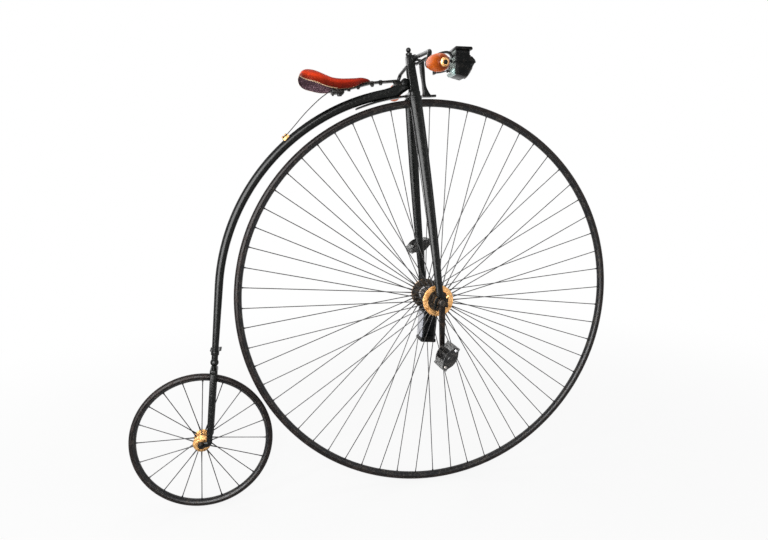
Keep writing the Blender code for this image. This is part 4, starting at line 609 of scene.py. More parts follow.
# The backbone: one round steel tube that follows the front wheel and tapers to its tail. Its front end is brazed
# on the forged neck, which carries the spindle in the head, a cross bolt and the pad of the saddle's spring.
bm = bmesh.new()
spindle = soften([(AXIS, 0.686), (0.0053, 0.686), (0.0088, 0.69), (0.0065, 0.694), (0.0065, 0.7579),
                  (0.0088, 0.7619), (0.0053, 0.7659), (AXIS, 0.7659)], 0.0006)
lathe(bm, spindle, Matrix.Identity(4), 40)
NECK_TURN, TAIL_TURN = math.radians(103), math.radians(174)
NECK_RADIUS, TAIL_RADIUS = 0.6895, 0.706


def backbone_at(t):
    """A point on the tube's middle line, from the neck (0) to the end of its curve (1), from the axle."""
    radius = NECK_RADIUS + (TAIL_RADIUS - NECK_RADIUS) * math.sin(math.pi / 2 * t)
    turn = NECK_TURN + (TAIL_TURN - NECK_TURN) * t
    return Vector((radius * math.cos(turn), 0, radius * math.sin(turn)))


to_steer = STEER.inverted() @ FRONT_AXLE
stations = []
for forward, up, half_up, half_side, slope in (
    # the neck from the spindle back: place over the crown, half height and width, slope
    (-0.005, 0.029, 0.015, 0.0034, 0), (-0.012, 0.0285, 0.0165, 0.0036, 0),
    (-0.021, 0.028, 0.02, 0.0055, 0.15), (-0.034, 0.0205, 0.0185, 0.01, 0.3),
    (-0.06, 0.007, 0.0185, 0.0145, 0.42),
):
    stations.append((Vector((forward, 0, CROWN_TOP + up)), half_side, half_up, slope))
start, following = to_steer @ backbone_at(0), to_steer @ backbone_at(0.02)
tube_on = (following - start).normalized()
stations.append((start, 0.0155, 0.0155, math.atan2(-tube_on.z, -tube_on.x)))
curve = even([Vector((*here.xz, slope)) for here, _, _, slope in stations], 8)
widths = even([Vector((side, up, 0)) for _, side, up, _ in stations], 8)
rings = []
for (x, z, slope), (half_side, half_up, _) in zip(curve, widths):
    up = Vector((-math.sin(slope), 0, math.cos(slope)))
    rings.append([Vector((x, 0, z)) + up * (half_up * v) + Vector((0, half_side * u, 0)) for u, v in circle(32)])
skin(bm, rings)
bolt_place = at(-0.0265, 0, CROWN_TOP + 0.029)
pin(bm, [(0.006, -0.012), (0.0085, -0.01), (0.0085, 0.01), (0.006, 0.012)], bolt_place @ LIE, 36, 0.001)
for side in (-1, 1):
    lathe(bm, [(AXIS, 0.0112), (0.0042, 0.0112), (0.0042, 0.0132), (0.003, 0.0142), (AXIS, 0.0143)],
          bolt_place @ turn_to(side), 6 if side > 0 else 28, blunt=0.0006)
shown("backbone_neck", bm, enamel, "frame", "steering_spindle", place=STEER, sharp=38)

bm = bmesh.new()
CURVE_STEPS = 72
path = [backbone_at(i / CURVE_STEPS) for i in range(CURVE_STEPS + 1)]
radii = [0.0155 - 0.0025 * i / CURVE_STEPS for i in range(CURVE_STEPS + 1)]
tail_on = Vector((-math.sin(TAIL_TURN), 0, math.cos(TAIL_TURN)))
TAIL_TIP = Vector((-0.72748, 0, 0.4926)) - FRONT_AXLE.translation
for i in range(1, 13):
    path.append(path[CURVE_STEPS] + (TAIL_TIP - path[CURVE_STEPS]) * i / 12)
    radii.append(0.013 - 0.0028 * i / 12)
sweep(bm, path, circle(40), sizes=[(radius, radius) for radius in radii])
shown("backbone_tube", bm, enamel, "frame", "backbone", place=FRONT_AXLE, sharp=45)

# The rear fork: a ball and short stem screwed under the backbone's tip, a bridge over the small tyre and two flat
# tapered blades, whose feet sweep back to the axle's eyes. The nuts hold a fixed axle on which the brass hub turns.
DOWN_TAIL = at(TAIL_TIP + FRONT_AXLE.translation) @ aimed(tail_on)
bm = bmesh.new()
stem = [(0.0085, 0.0222), (0.0085, 0.03), (0.0108, 0.0318), (0.0108, 0.0345), (AXIS, 0.0345)]
lathe(bm, [(AXIS, 0.0003), (0.0098, 0.0003)] + arc(0.0132, 0.00868, 0.88, 2.42) + stem, DOWN_TAIL, 48)
BLADES = at(-0.73177, 0, 0.45183) @ spun(6, "Y")
rings = []
bridge = oblong(0.0594, 0.024, 0.008, 5)
for up, size in ((0, 0.9), (0.0012, 0.98), (0.003, 1), (0.01, 1), (0.0118, 0.97), (0.013, 0.88)):
    rings.append([BLADES @ Vector((v * size, u * (1 - (1 - size) * 0.4), up)) for u, v in bridge])
skin(bm, rings)
shown("rear_fork_bridge", bm, enamel, "frame", "rear_fork_crown", sharp=40)

REAR_EYE = BLADES.inverted() @ BACK_AXLE.translation
for label, side in SIDES:
    bm = bmesh.new()
    line = [(0, -0.0003), (0, REAR_EYE.z + 0.0039), (REAR_EYE.x + 0.005, REAR_EYE.z + 0.001)]
    line = [Vector((x, 0, z)) for x, z in soften(line, 0.016, 10)]
    line = [line[0].lerp(line[1], i / 20) for i in range(20)] + line[1:]
    path, sizes = [], []
    for here in line:
        t = min(-here.z / 0.2302, 1)
        path.append(here + Vector((0, side * (0.0245 + 0.014 * t ** 0.8), 0)))
        sizes.append((0.0104 - 0.0024 * t, 0.0216 - 0.004 * t))
    sweep(bm, path, oblong(1, 1, 0.42, 6), sizes=sizes)
    eye = [(0.0058, 0.0345), (0.0112, 0.0345), (0.0112, 0.0425), (0.0058, 0.0425)]
    lathe(bm, eye, at(REAR_EYE.x, 0, REAR_EYE.z) @ turn_to(side), 48, closed=True, blunt=0.0014, fine=4)
    shown(f"rear_blade_{label}", bm, enamel, "frame", f"rear_fork_blade_{label}", sharp=42, place=BLADES)

bm = bmesh.new()
pin(bm, [(0.0055, -0.056), (0.0055, 0.056)], BACK_AXLE @ LIE, 28, 0.0012)
for side in (-1, 1):
    nut = soften([(0.0052, 0.0429), (0.0088, 0.0429), (0.0092, 0.044), (0.0092, 0.0504), (0.0082, 0.0518),
                  (0.0052, 0.0518)], 0.0004, 2)
    lathe(bm, nut, BACK_AXLE @ turn_to(side), 6, closed=True)
shown("rear_axle_and_nuts", bm, enamel, "frame", "rear_axle")

aged_brass = finish("aged_brass", (0.42, 0.235, 0.09), (0.16, 0.08, 0.03), 85, 0.36, 0.3, 0.5, 0.2, Metallic=1)
bm = bmesh.new()
half = soften([(0.0058, 0.0329), (0.01, 0.0329), (0.0112, 0.03), (0.0152, 0.0256), (0.028, 0.0243), (0.028, 0.0217),
               (0.0165, 0.0205), (0.0118, 0.016), (0.0128, 0)], 0.0012, 4)
outline = half[:-1] + [(radius, -height) for radius, height in reversed(half)]
lathe(bm, outline, BACK_AXLE @ LIE, 64, closed=True)
shown("rear_wheel_hub", bm, aged_brass, "rear_wheel", "rear_hub")

# The mounting step: a clamped band on the tube's tail, with a short arm and a flat toothed tread to the left.
# All of it is forged steel, black enamelled like the tube; the teeth hold the rider's shoe.
bm = bmesh.new()
STEP = at(-0.72508, 0, 0.51547)
upright = STEP @ aimed(-tail_on)
lathe(bm, soften([(0.0106, -0.0065), (0.0128, -0.0065), (0.0131, 0.0065), (0.0109, 0.0065)], 0.0006, closed=True),
      upright, 48, closed=True)
arm = [STEP @ Vector((0, y, z)) for y, z in ((0.0105, -0.0025), (0.018, -0.0028), (0.03, -0.0012), (0.045, -0.0004))]
sweep(bm, even(arm, 5), oblong(0.011, 0.0046, 0.0014), level=Vector((1, 0, 0)))
TREAD_MIDDLE = 0.0454
tread = soften([(0.018, 0.0234), (0.018, 0.0674), (-0.018, 0.0674), (-0.018, 0.0234)], 0.004, 4, closed=True)
skin(bm, [[STEP @ Vector((x * s, TREAD_MIDDLE + (y - TREAD_MIDDLE) * s, z)) for x, y in tread]
          for z, s in ((-0.0022, 0.96), (-0.0016, 1), (0.0006, 1), (0.0012, 0.96))])
for i in range(7):
    for across in (-0.0148, -0.0074, 0, 0.0074, 0.0148):
        foot = STEP @ at(across, 0.0266 + i * 0.0063, 0.0009)
        lathe(bm, [(AXIS, 0), (0.0022, 0), (0.0009, 0.0013), (AXIS, 0.0013)], foot, 4)
shown("mounting_step_and_band", bm, enamel, "frame", "mounting_step")

# The handlebar: one thin black rod held in the head's lug. It falls a little to both sides, drops, and runs out again
# into turned hardwood grips, varnished orange-brown, with a ferrule and cap; the rounded end is painted dark as shade
# round the cap.


def grip_line(side):
    """Where a bar's end starts and which way it runs, swept 6.5 degrees on and dropped 10 degrees."""
    along = Vector((math.tan(math.radians(6.5)), side, -math.tan(math.radians(10)))).normalized()
    return Vector((-0.0012, side * 0.189, 0.734)), along


bm = bmesh.new()
halves = []
for side in (1, -1):
    inner, along = grip_line(side)
    corners = [Vector((BAR_ON, 0, BAR_UP)), Vector((BAR_ON, side * 0.022, BAR_UP)),
               Vector((BAR_ON, side * 0.182, 0.771)), inner, inner + along * 0.125]
    halves.append([Vector(point) for point in soften(corners, 0.0125, 8)])
bar_line = halves[1][::-1] + halves[0][1:]
sweep(bm, bar_line, circle(20, 0.0064), level=Vector((1, 0, 0)))
shown("handlebar_rod", bm, enamel, "fork", "handlebar", place=STEER, sharp=60)


def toned(tree, value, stops):
    """A value turned into a colour by stops of a place and a colour, as a socket."""
    made = add(tree, "ShaderNodeValToRGB", {"Fac": value})
    elements = made.color_ramp.elements
    for spot, colour in stops:
        stop = elements[-int(spot)] if spot in (0, 1) else elements.new(spot)
        stop.position, stop.color = spot, (*colour, 1)
    return made.outputs["Color"]


wood, tree, inputs = fresh_material("varnished_hardwood")
place = add(tree, "ShaderNodeTexCoord").outputs["Object"]
parts = add(tree, "ShaderNodeSeparateXYZ", {"Vector": place}).outputs
# the grip's tones along its length: darker by the ferrule, and painted dark at the rounded end as the shade round the
# cap
stops = [(0, (0.2, 0.036, 0.004)), (0.12, (0.72, 0.11, 0.005)), (0.5, (0.8, 0.14, 0.006)),
         (0.74, (0.66, 0.12, 0.006)), (0.9, (0.36, 0.06, 0.004)), (1, (0.11, 0.018, 0.003))]
tones = toned(tree, ranged(tree, parts["Z"], 0.01, 0.103), stops)
stretched = add(tree, "ShaderNodeMapping", {"Vector": place, "Scale": (1, 1, 0.1)}).outputs[0]
grain = noised(tree, stretched, 420, 5, 0.6)
streak = ranged(tree, grain, 0.3, 0.7, 0.72, 1.18)
tree.links.new(colour_mix(tree, 1, tones, streak, "MULTIPLY"), inputs["Base Color"])
tree.links.new(ranged(tree, grain, 0, 1, 0.2, 0.42), inputs["Roughness"])
raise_grain(tree, inputs, grain, 0.00012, 0.6)
inputs["Specular IOR Level"].default_value = 0.09
painted_hole_shade = finish("painted_shade_in_hole", (0.012, 0.01, 0.009), (0.03, 0.022, 0.015), 200, 0.3, 0.45, 0.7)

for label, side in SIDES:
    inner, along = grip_line(side)
    foot = inner + along * 0.014
    grip_place = STEER @ at(foot) @ aimed(along)
    bm = bmesh.new()
    stations = [(0.04, 0.66), (0.1, 0.755), (0.2, 0.855), (0.42, 0.965), (0.62, 1), (0.78, 0.955), (0.88, 0.845),
                (0.945, 0.7), (0.985, 0.56), (1, 0.48)]
    curve = even([Vector((share * 0.093 + 0.01, wide * 0.0252, 0)) for share, wide in stations], 5)
    turned = [(0.0068, 0.0103), (0.0158, 0.0104)] + [(v.y, v.x) for v in curve] + [(0.0068, 0.103)]
    lathe(bm, turned, Matrix.Identity(4), 56, closed=True)
    bead = soften([(0.0067, 0), (0.0136, 0), (0.015, 0.0014), (0.015, 0.0072), (0.0136, 0.0086), (0.0136, 0.01),
                   (0.0067, 0.01)], 0.0009, 4)
    marks = len(bm.faces)
    lathe(bm, bead, Matrix.Identity(4), 56, closed=True)
    bm.faces.ensure_lookup_table()
    for face in bm.faces[marks:]:
        face.material_index = 1
    shown(f"hardwood_grip_{label}", bm, [wood, enamel], "fork", f"grip_{label}", place=grip_place)
    bm = bmesh.new()
    # a domed brass cup let into the end, round the rod's tip, which is painted dark as the shade of a hole
    lathe(bm, [(0.0045, 0.102), (0.0122, 0.102), (0.0128, 0.1032), (0.0122, 0.105), (0.0092, 0.1072),
               (0.0058, 0.1078), (0.0045, 0.1068)], Matrix.Identity(4), 44, closed=True, blunt=0.0007, fine=4)
    lathe(bm, [(AXIS, 0.103), (0.0044, 0.103), (0.0044, 0.1058), (0.0028, 0.1064), (AXIS, 0.1065)],
          Matrix.Identity(4), 40)
    for face in bm.faces:
        centre = face.calc_center_median()
        face.material_index = int(math.hypot(centre.x, centre.y) < 0.0044)
    shown(f"grip_end_cap_{label}", bm, [brass, painted_hole_shade], "fork", f"grip_cap_{label}", place=grip_place)

# The spoon brake: a flat rod down the head's front with a curved spoon over the tyre, pushed by a long hand lever
# that runs in front of the right half of the bar. Both are black enamelled and worn in patches.
bm = bmesh.new()
plunger = [(0.0395, 0.777, 0.024, 0.0142), (0.0395, 0.7475, 0.017, 0.015), (0.0405, 0.7125, 0.014, 0.0117),
           (0.0415, 0.693, 0.016, 0.0135), (0.044, 0.679, 0.018, 0.019), (0.0452, 0.6685, 0.02, 0.028)]
path = even([Vector((forward, 0, up)) for forward, up, _, _ in plunger], 6)
sizes = [(v.x, v.y) for v in even([Vector((wide, thick, 0)) for _, _, wide, thick in plunger], 6)]
sweep(bm, path, oblong(1, 1, 0.22, 4), sizes=sizes)
rings = []
for i in range(25):
    t = i / 24
    turn = math.radians(90) - (0.03 + 0.048 * t) / FRONT_RADIUS
    out = Vector((math.cos(turn), 0, math.sin(turn)))
    lift = 0.0091 + 0.004 * max(0, t - 0.55)
    half = 0.012 * (1 - 0.35 * t) * min(1, (1.02 - t) * 9) ** 0.5
    rings.append([out * (FRONT_RADIUS + lift + z * 0.0072 - 0.0064 * y ** 2) + Vector((0, y * 2 * half, 0))
                  for y, z in oblong(1, 1, 0.3, 4)])
skin(bm, rings)
pin(bm, [(0.0042, -0.0105), (0.0042, 0.0105)], at(0.0395, 0, 0.764) @ LIE, 24, 0.0008)
shown("brake_spoon_and_rod", bm, enamel, "fork", "brake_spoon", place=STEER)

bm = bmesh.new()
lever = [Vector((0.0275, 0.018, 0.7725)), Vector((0.029, -0.1001, 0.77)), Vector((0.0407, -0.192, 0.742)),
         Vector((0.0447, -0.265, 0.722))]
path = [Vector(point) for point in soften(lever, 0.03, 8)]
sizes = [(1 + 0.25 * max(0, (-point.y - 0.19) / 0.075), 1) for point in path]
sweep(bm, path, circle(16, 0.0042), level=Vector((0, 0, 1)), sizes=sizes)
block = [(u, v * 0.49) for u, v in oblong(0.0165, 0.0115, 0.002)]
stack(bm, block, ((0.0149, 0.93), (0.0156, 1), (0.026, 1), (0.0275, 0.93)), lambda u, v, x: (x, u, 0.77155 + v))
shown("brake_hand_lever", bm, enamel, "fork", "brake_lever", place=STEER)

# The short guard behind the crown: a thin curved strip with its sides turned down, just over the tyre.
# It is pressed from steel sheet, black enamelled and fixed under the crown's rear edge.
bm = bmesh.new()
GUARD_RADIUS = 0.6697
turns = [math.radians(97 + 15 * i / 20) for i in range(21)]
path = [Vector((math.cos(turn), 0, math.sin(turn))) * GUARD_RADIUS for turn in turns]
section = soften([(-0.011, -0.0048), (-0.011, 0.0009), (0.011, 0.0009), (0.011, -0.0048), (0.0096, -0.0048),
                  (0.0096, -0.0009), (-0.0096, -0.0009), (-0.0096, -0.0048)], 0.0006, 3, closed=True)
sweep(bm, path, section, sizes=[(1 - 0.15 * max(0, (i - 16) / 4) ** 2, 1) for i in range(21)])
shown("guard_behind_crown", bm, enamel, "fork", "crown_guard", place=FRONT_AXLE)

# The headlamp's bracket: a bar from the head's lug to an upright tongue, and two spring leaves that carry the
# lamp's back plate clear of the road's shocks. All black enamelled flat steel.
LAMP_BACK, LAMP_FOOT, LAMP_LONG, LAMP_HIGH = 0.05925, 1.38646, 0.08, 0.096


def flat_bar(bm, points, wide, thick):
    sweep(bm, even([Vector((x, 0, z)) for x, z in points], 6), oblong(wide, thick, 0.0011, 3))


bm = bmesh.new()
flat_bar(bm, [(-0.04872, 1.44107), (-0.02872, 1.44057), (0.00995, 1.44157)], 0.014, 0.005)
stack(bm, oblong(0.022, 0.006, 0.0014), ((1.3976, 0.93), (1.3984, 1), (1.453, 1), (1.4538, 0.93)),
      lambda u, v, z: (0.00995 + v, u, z))
flat_bar(bm, [(0.00995, 1.4475), (0.0172, 1.459), (0.034, 1.466), (0.052, 1.469), (0.064, 1.465), (0.0692, 1.456),
              (0.069, 1.444), (0.064, 1.44)], 0.013, 0.006)
flat_bar(bm, [(0.00995, 1.40158), (0.0369, 1.40558), (0.0565, 1.41158)], 0.012, 0.0035)
stack(bm, oblong(0.022, 0.0472, 0.003), ((0.05495, 0.97), (0.0555, 1), (0.0584, 1), (0.0589, 0.97)),
      lambda u, v, x: (x, u, 1.42918 + v))
for x, z, radius, high, steps in (
    # two rivets in the back plate and two nuts in the upright
    (0.0553, 1.41, 0.0036, 0.0016, 20), (0.0553, 1.449, 0.0036, 0.0016, 20),
    (0.0072, 1.4036, 0.0044, 0.0018, 6), (0.0072, 1.4445, 0.0044, 0.0018, 6),
):
    lathe(bm, [(AXIS, 0), (radius, 0), (radius, high), (radius - 0.0016, high + 0.001), (AXIS, high + 0.0011)],
          at(x, 0, z) @ spun(-90, "Y"), steps, blunt=0.0005)
shown("lamp_bracket_leaves", bm, enamel, "fork", "lamp_bracket", sharp=40)

# The headlamp: a folded black enamelled sheet-metal oil lantern, five-sided from the side, with a seam, a stepped
# chimney and a flat cap, and a bezelled lens on its sloping front. Its tinned back hangs on the bracket by a socket,
# over an oil font whose pale green is a painted reflection of the bright surround.
lamp_enamel = finish("lamp_enamel", (0.0015, 0.0019, 0.002), (0.0085, 0.0075, 0.0065), 60, 0.3, 0.12, 0.34, 0.2,
                     Specular_IOR_Level=0.11)
tin = finish("dull_tinned_sheet", (0.22, 0.25, 0.235), (0.08, 0.085, 0.078), 80, 0.36, 0.32, 0.6, 0.25, Metallic=0.35)


def middle_of(outline):
    return sum((Vector(point) for point in outline), Vector((0, 0))) / len(outline)


def slab(bm, outline, half, edge):
    """An outline in X and Z, as thick as twice the half, with softened rims."""
    middle = middle_of(outline)
    rings = []
    for y, inset in ((-half, 1), (-half + edge * 0.3, 0.3), (-half + edge, 0), (half - edge, 0),
                     (half - edge * 0.3, 0.3), (half, 1)):
        ring = []
        for point in outline:
            out = Vector(point) - middle
            here = middle + out * (1 - inset * edge / max(out.length, 0.001))
            ring.append(Vector((here.x, y, here.y)))
        rings.append(ring)
    skin(bm, rings)


def lamp_at(forward, up):
    """A point of the lantern's side, by shares of its length and height."""
    return (LAMP_BACK + LAMP_LONG * forward, LAMP_FOOT + LAMP_HIGH * up)


def lamp_outline(blunt, *corners, fine=3):
    """An outline on the lantern's side, with blunted corners."""
    return soften([lamp_at(*corner) for corner in corners], blunt, fine, closed=True)


bm = bmesh.new()
slab(bm, lamp_outline(0.003, (0.15, 0.1), (0.64, 0), (1, 0.5), (1, 0.56), (0.86, 0.68), (0.15, 0.68)), 0.035, 0.0016)
for up in (0.479, 0.505):
    slab(bm, lamp_outline(0.0009, (0.142, up - 0.01), (1.01, up - 0.01), (1.012, up + 0.01), (0.142, up + 0.01)),
         0.0364, 0.0008)
for side in (-1, 1):
    # pressed panel on each side, and the door's rivets
    panel = lamp_outline(0.005, (0.23, 0.15), (0.61, 0.075), (0.87, 0.43), (0.23, 0.43), fine=4)
    middle = middle_of(panel)
    rings = []
    for y, size in ((0.0345, 1), (0.0357, 0.985), (0.036, 0.95), (0.036, 0.9), (0.0354, 0.865), (0.0352, 0.84)):
        rings.append([Vector((out.x * size + middle.x, side * y, out.y * size + middle.y))
                      for out in (Vector(point) - middle for point in panel)])
    skin(bm, rings)
    for forward, up in ((0.21, 0.57), (0.5, 0.57), (0.86, 0.57), (0.21, 0.64), (0.8, 0.64)):
        x, z = lamp_at(forward, up)
        lathe(bm, [(AXIS, 0.0012), (0.0008, 0.0011), (0.0015, 0.0005), (0.0017, -0.0002), (AXIS, -0.0004)],
              at(x, side * 0.035, z) @ turn_to(side), 14)
for rear, front, low, high, half in (
    # the stepped chimney: rear and front, foot and top, half width
    (0.165, 0.83, 0.67, 0.735, 0.0287), (0.19, 0.8, 0.73, 0.905, 0.0265),
):
    slab(bm, lamp_outline(0.0025, (rear, low), (front, low), (front, high), (rear, high)), half, 0.0016)
for i in range(9):
    # louvres between the chimney and its cap
    for side in (-1, 1):
        x, z = lamp_at(0.235 + i * 0.064, 0.825)
        stack(bm, oblong(0.0026, 0.0075, 0.001, 2), ((0.0262, 1), (0.0272, 0.9), (0.0274, 0.6)),
              lambda u, v, y: (x + u, side * y, z + v))
slab(bm, lamp_outline(0.0018, (0.15, 0.905), (0.9, 0.905), (0.9, 0.967), (0.865, 1), (0.18, 1), (0.15, 0.967)),
     0.0308, 0.0016)
shown("headlamp_lantern", bm, lamp_enamel, "fork", "headlamp_body", sharp=28)

bm = bmesh.new()
LAMP_REAR = lamp_at(0.15, 0)[0]
for low, high, half in ((0.15, 0.455, 0.0325), (0.53, 0.665, 0.0325), (0.745, 0.895, 0.0245)):
    # the tinned back sheets below and above the seam and behind the chimney
    foot, top = lamp_at(0, low)[1], lamp_at(0, high)[1]
    inset = 0.0032 if low > 0.7 else 0
    levels = ((LAMP_REAR + 0.0008, 1), (LAMP_REAR - 0.0004, 1), (LAMP_REAR - 0.0008, 0.97))
    stack(bm, oblong(2 * half, top - foot, 0.002), levels, lambda u, v, x: (x + inset, u, (foot + top) / 2 + v))
levels = ((LAMP_BACK + 0.0002, 0.95), (LAMP_BACK + 0.001, 1), (LAMP_REAR, 1), (LAMP_REAR + 0.0005, 0.97))
stack(bm, oblong(0.024, 0.04, 0.003), levels, lambda u, v, x: (x, u, 1.429 + v))
shown("headlamp_back_and_socket", bm, tin, "fork", None)

front_foot, front_tip = Vector(lamp_at(0.64, 0)), Vector(lamp_at(1, 0.5))
front_on = (front_tip - front_foot).normalized()
lens_at = (front_foot + front_tip) / 2 - front_on * 0.002
front_out = Vector((front_on.y, 0, -front_on.x))
LENS = at(lens_at.x, 0, lens_at.y) @ aimed(front_out)
bm = bmesh.new()
bezel = soften([(0.02, 0.0004), (0.0242, 0.0004), (0.0242, 0.0036), (0.0228, 0.0052), (0.0208, 0.005),
                (0.02, 0.0034)], 0.0008, 3, closed=True)
lathe(bm, bezel, LENS, 64, closed=True)
shown("headlamp_bezel", bm, steel, "fork", None)
glass = finish("pressed_glass", (0.8, 0.9, 0.88), (0.62, 0.72, 0.7), 90, 0.25, 0.02, 0.1, 0.1,
               Transmission_Weight=0.75, IOR=1.45)
bm = bmesh.new()
crown = []
for i in range(11):
    turn = math.radians(90 - 9 * i)
    crown.append((0.0215 * math.cos(turn), 0.003 + 0.0042 * math.sin(turn)))
lathe(bm, crown + [(0.0205, 0.0012), (AXIS, 0.001)], LENS, 48)
shown("headlamp_lens_glass", bm, glass, "fork", "headlamp_lens")

# the font's pale green is a painted reflection on glossy black, not its own colour
painted_reflection_green = finish("painted_reflection_pale_green", (0.23, 0.37, 0.345), (0.42, 0.56, 0.53), 90, 0.36, 0.1, 0.3, 0.2,
                    Specular_IOR_Level=0.6, Coat_Weight=0.4, Coat_Roughness=0.06)
bm = bmesh.new()
font = [(AXIS, -0.03), (0.007, -0.0296), (0.0098, -0.0275), (0.0105, -0.024), (0.0105, 0.024), (0.0098, 0.0275),
        (0.007, 0.0296), (AXIS, 0.03)]
lathe(bm, font, at(LAMP_REAR + 0.0005, 0, LAMP_FOOT + 0.0175) @ LIE, 36, blunt=0.0016)
shown("headlamp_oil_font", bm, painted_reflection_green, "fork", None)

# The hub lamp: a square oil lantern that hangs by a lined collar from the turning hub, between the spokes. Its back
# is glazed and pale; sides, base and domed top are black enamelled sheet with a rolled foot.
bm = bmesh.new()
lathe(bm, [(0.0223, -0.013), (0.026, -0.013), (0.026, 0.013), (0.0223, 0.013)], LIE, 56, closed=True, blunt=0.001)
HUNG = spun(5.5, "Y")
levels = ((-0.034, 1), (-0.0235, 1), (-0.0228, 0.96))
stack(bm, oblong(0.026, 0.024, 0.003), levels, lambda u, v, z: HUNG @ Vector((-0.008 + v, u, z)))
for across in (-1, 1):
    pin(bm, [(0.003, -0.0145), (0.003, 0.0145)], at(across * 0.0268, 0, 0) @ LIE, 20, 0.0006)
shown("hub_lamp_collar", bm, lamp_enamel, "hub_lamp", "hub_lamp_hanger", place=FRONT_AXLE)
bm = bmesh.new()
section = oblong(1, 1, 0.13, 4)
CASE_ON, WINDOW_UP = -0.007, -0.0945        # the case's middle and its windows', from the hub
levels = [(-0.034, 0.034, 0.026), (-0.0352, 0.044, 0.034), (-0.042, 0.062, 0.046), (-0.044, 0.0695, 0.0535),
          (-0.0456, 0.07, 0.054), (-0.0474, 0.069, 0.053), (-0.048, 0.066, 0.0505), (-0.141, 0.064, 0.048),
          (-0.142, 0.068, 0.052), (-0.1436, 0.07, 0.054), (-0.15, 0.07, 0.054), (-0.1516, 0.068, 0.052)]
skin(bm, [[HUNG @ Vector((CASE_ON + v * deep, u * wide, z)) for u, v in section] for z, wide, deep in levels])
for side in (-1, 1):
    # a pressed frame round each side's window
    levels = ((0.0318, 1), (0.0334, 1), (0.0338, 0.96), (0.0334, 0.88), (0.032, 0.86))
    stack(bm, oblong(0.04, 0.078, 0.008, 5), levels,
          lambda u, v, y: HUNG @ Vector((CASE_ON + u, side * y, WINDOW_UP + v)))
shown("hub_lamp_case", bm, lamp_enamel, "hub_lamp", "hub_lamp_body", place=FRONT_AXLE)
pane_paint = finish("pale_back_glass", (0.56, 0.57, 0.64), (0.34, 0.35, 0.4), 70, 0.35, 0.08, 0.3, 0.1,
                    Specular_IOR_Level=0.6, Coat_Weight=0.6, Coat_Roughness=0.05)
bm = bmesh.new()
levels = ((-0.0305, 1), (-0.0325, 1), (-0.0329, 0.96))
stack(bm, oblong(0.058, 0.086, 0.004, 4), levels, lambda u, v, x: HUNG @ Vector((x, u, WINDOW_UP + v)))
shown("hub_lamp_back_glass", bm, pane_paint, "hub_lamp", None, place=FRONT_AXLE)

# The saddle: one piece of thick waxed hide, blocked to a hollow shell, wide and rolled behind and narrow at its
# nose. Its top is orange-red and darker to the nose, its cut edge raw and cream, its flesh side purple-brown.
SEAT, SADDLE_END = 1.375, -0.43
SADDLE_LONG, RIDGE_HIGH, SKIRT_DEEP, SADDLE_HALF = 0.225, 0.0205, 0.036, 0.084
hide, tree, inputs = fresh_material("orange_red_hide")
place = add(tree, "ShaderNodeTexCoord").outputs
parts = add(tree, "ShaderNodeSeparateXYZ", {"Vector": place["Object"]}).outputs
broad = noised(tree, place["Object"], 22, 5, 0.6)
shifted = maths(tree, "ADD", parts["X"], maths(tree, "MULTIPLY", broad, 0.05))
stops = [(0, (0.52, 0.036, 0.007)), (0.35, (0.5, 0.031, 0.006)), (0.62, (0.38, 0.02, 0.005)),
         (1, (0.17, 0.011, 0.005))]
tones = toned(tree, ranged(tree, shifted, -0.405, -0.18), stops)
blotched = colour_mix(tree, 1, tones, ranged(tree, broad, 0.32, 0.68, 0.74, 1.18), "MULTIPLY")
# painted light and shade by which way the hide faces: the top painted dark, the upper flanks painted bright as a
# highlight, and the steep skirt, facing sideways and down, painted dark as shade
facing_up = add(tree, "ShaderNodeSeparateXYZ", {"Vector": place["Normal"]}).outputs["Z"]
tilt = maths(tree, "ADD", facing_up, maths(tree, "MULTIPLY_ADD", broad, 0.3, -0.15))
levels = ((0, 0.26), (0.2, 0.5), (0.42, 1.15), (0.62, 1.08), (0.86, 0.6), (1, 0.52))
painted_light_and_shade = toned(tree, tilt, [(spot, (level, level, level)) for spot, level in levels])
tree.links.new(colour_mix(tree, 1, blotched, painted_light_and_shade, "MULTIPLY"), inputs["Base Color"])
pebble = add(tree, "ShaderNodeTexVoronoi", {"Vector": place["Object"], "Scale": 520}, feature="SMOOTH_F1")
creases = noised(tree, place["Object"], 160, 5, 0.7)
raise_grain(tree, inputs, maths(tree, "ADD", pebble.outputs["Distance"], creases), 0.00035, 0.7)
tree.links.new(ranged(tree, creases, 0, 1, 0.42, 0.62), inputs["Roughness"])
inputs["Specular IOR Level"].default_value = 0.07
raw_edge = finish("raw_hide_edge", (0.54, 0.39, 0.25), (0.38, 0.22, 0.11), 160, 0.35, 0.55, 0.8, 0.4)
flesh_side = finish("flesh_side", (0.215, 0.125, 0.155), (0.125, 0.07, 0.088), 60, 0.4, 0.6, 0.85, 0.5,
                    Specular_IOR_Level=0.2)

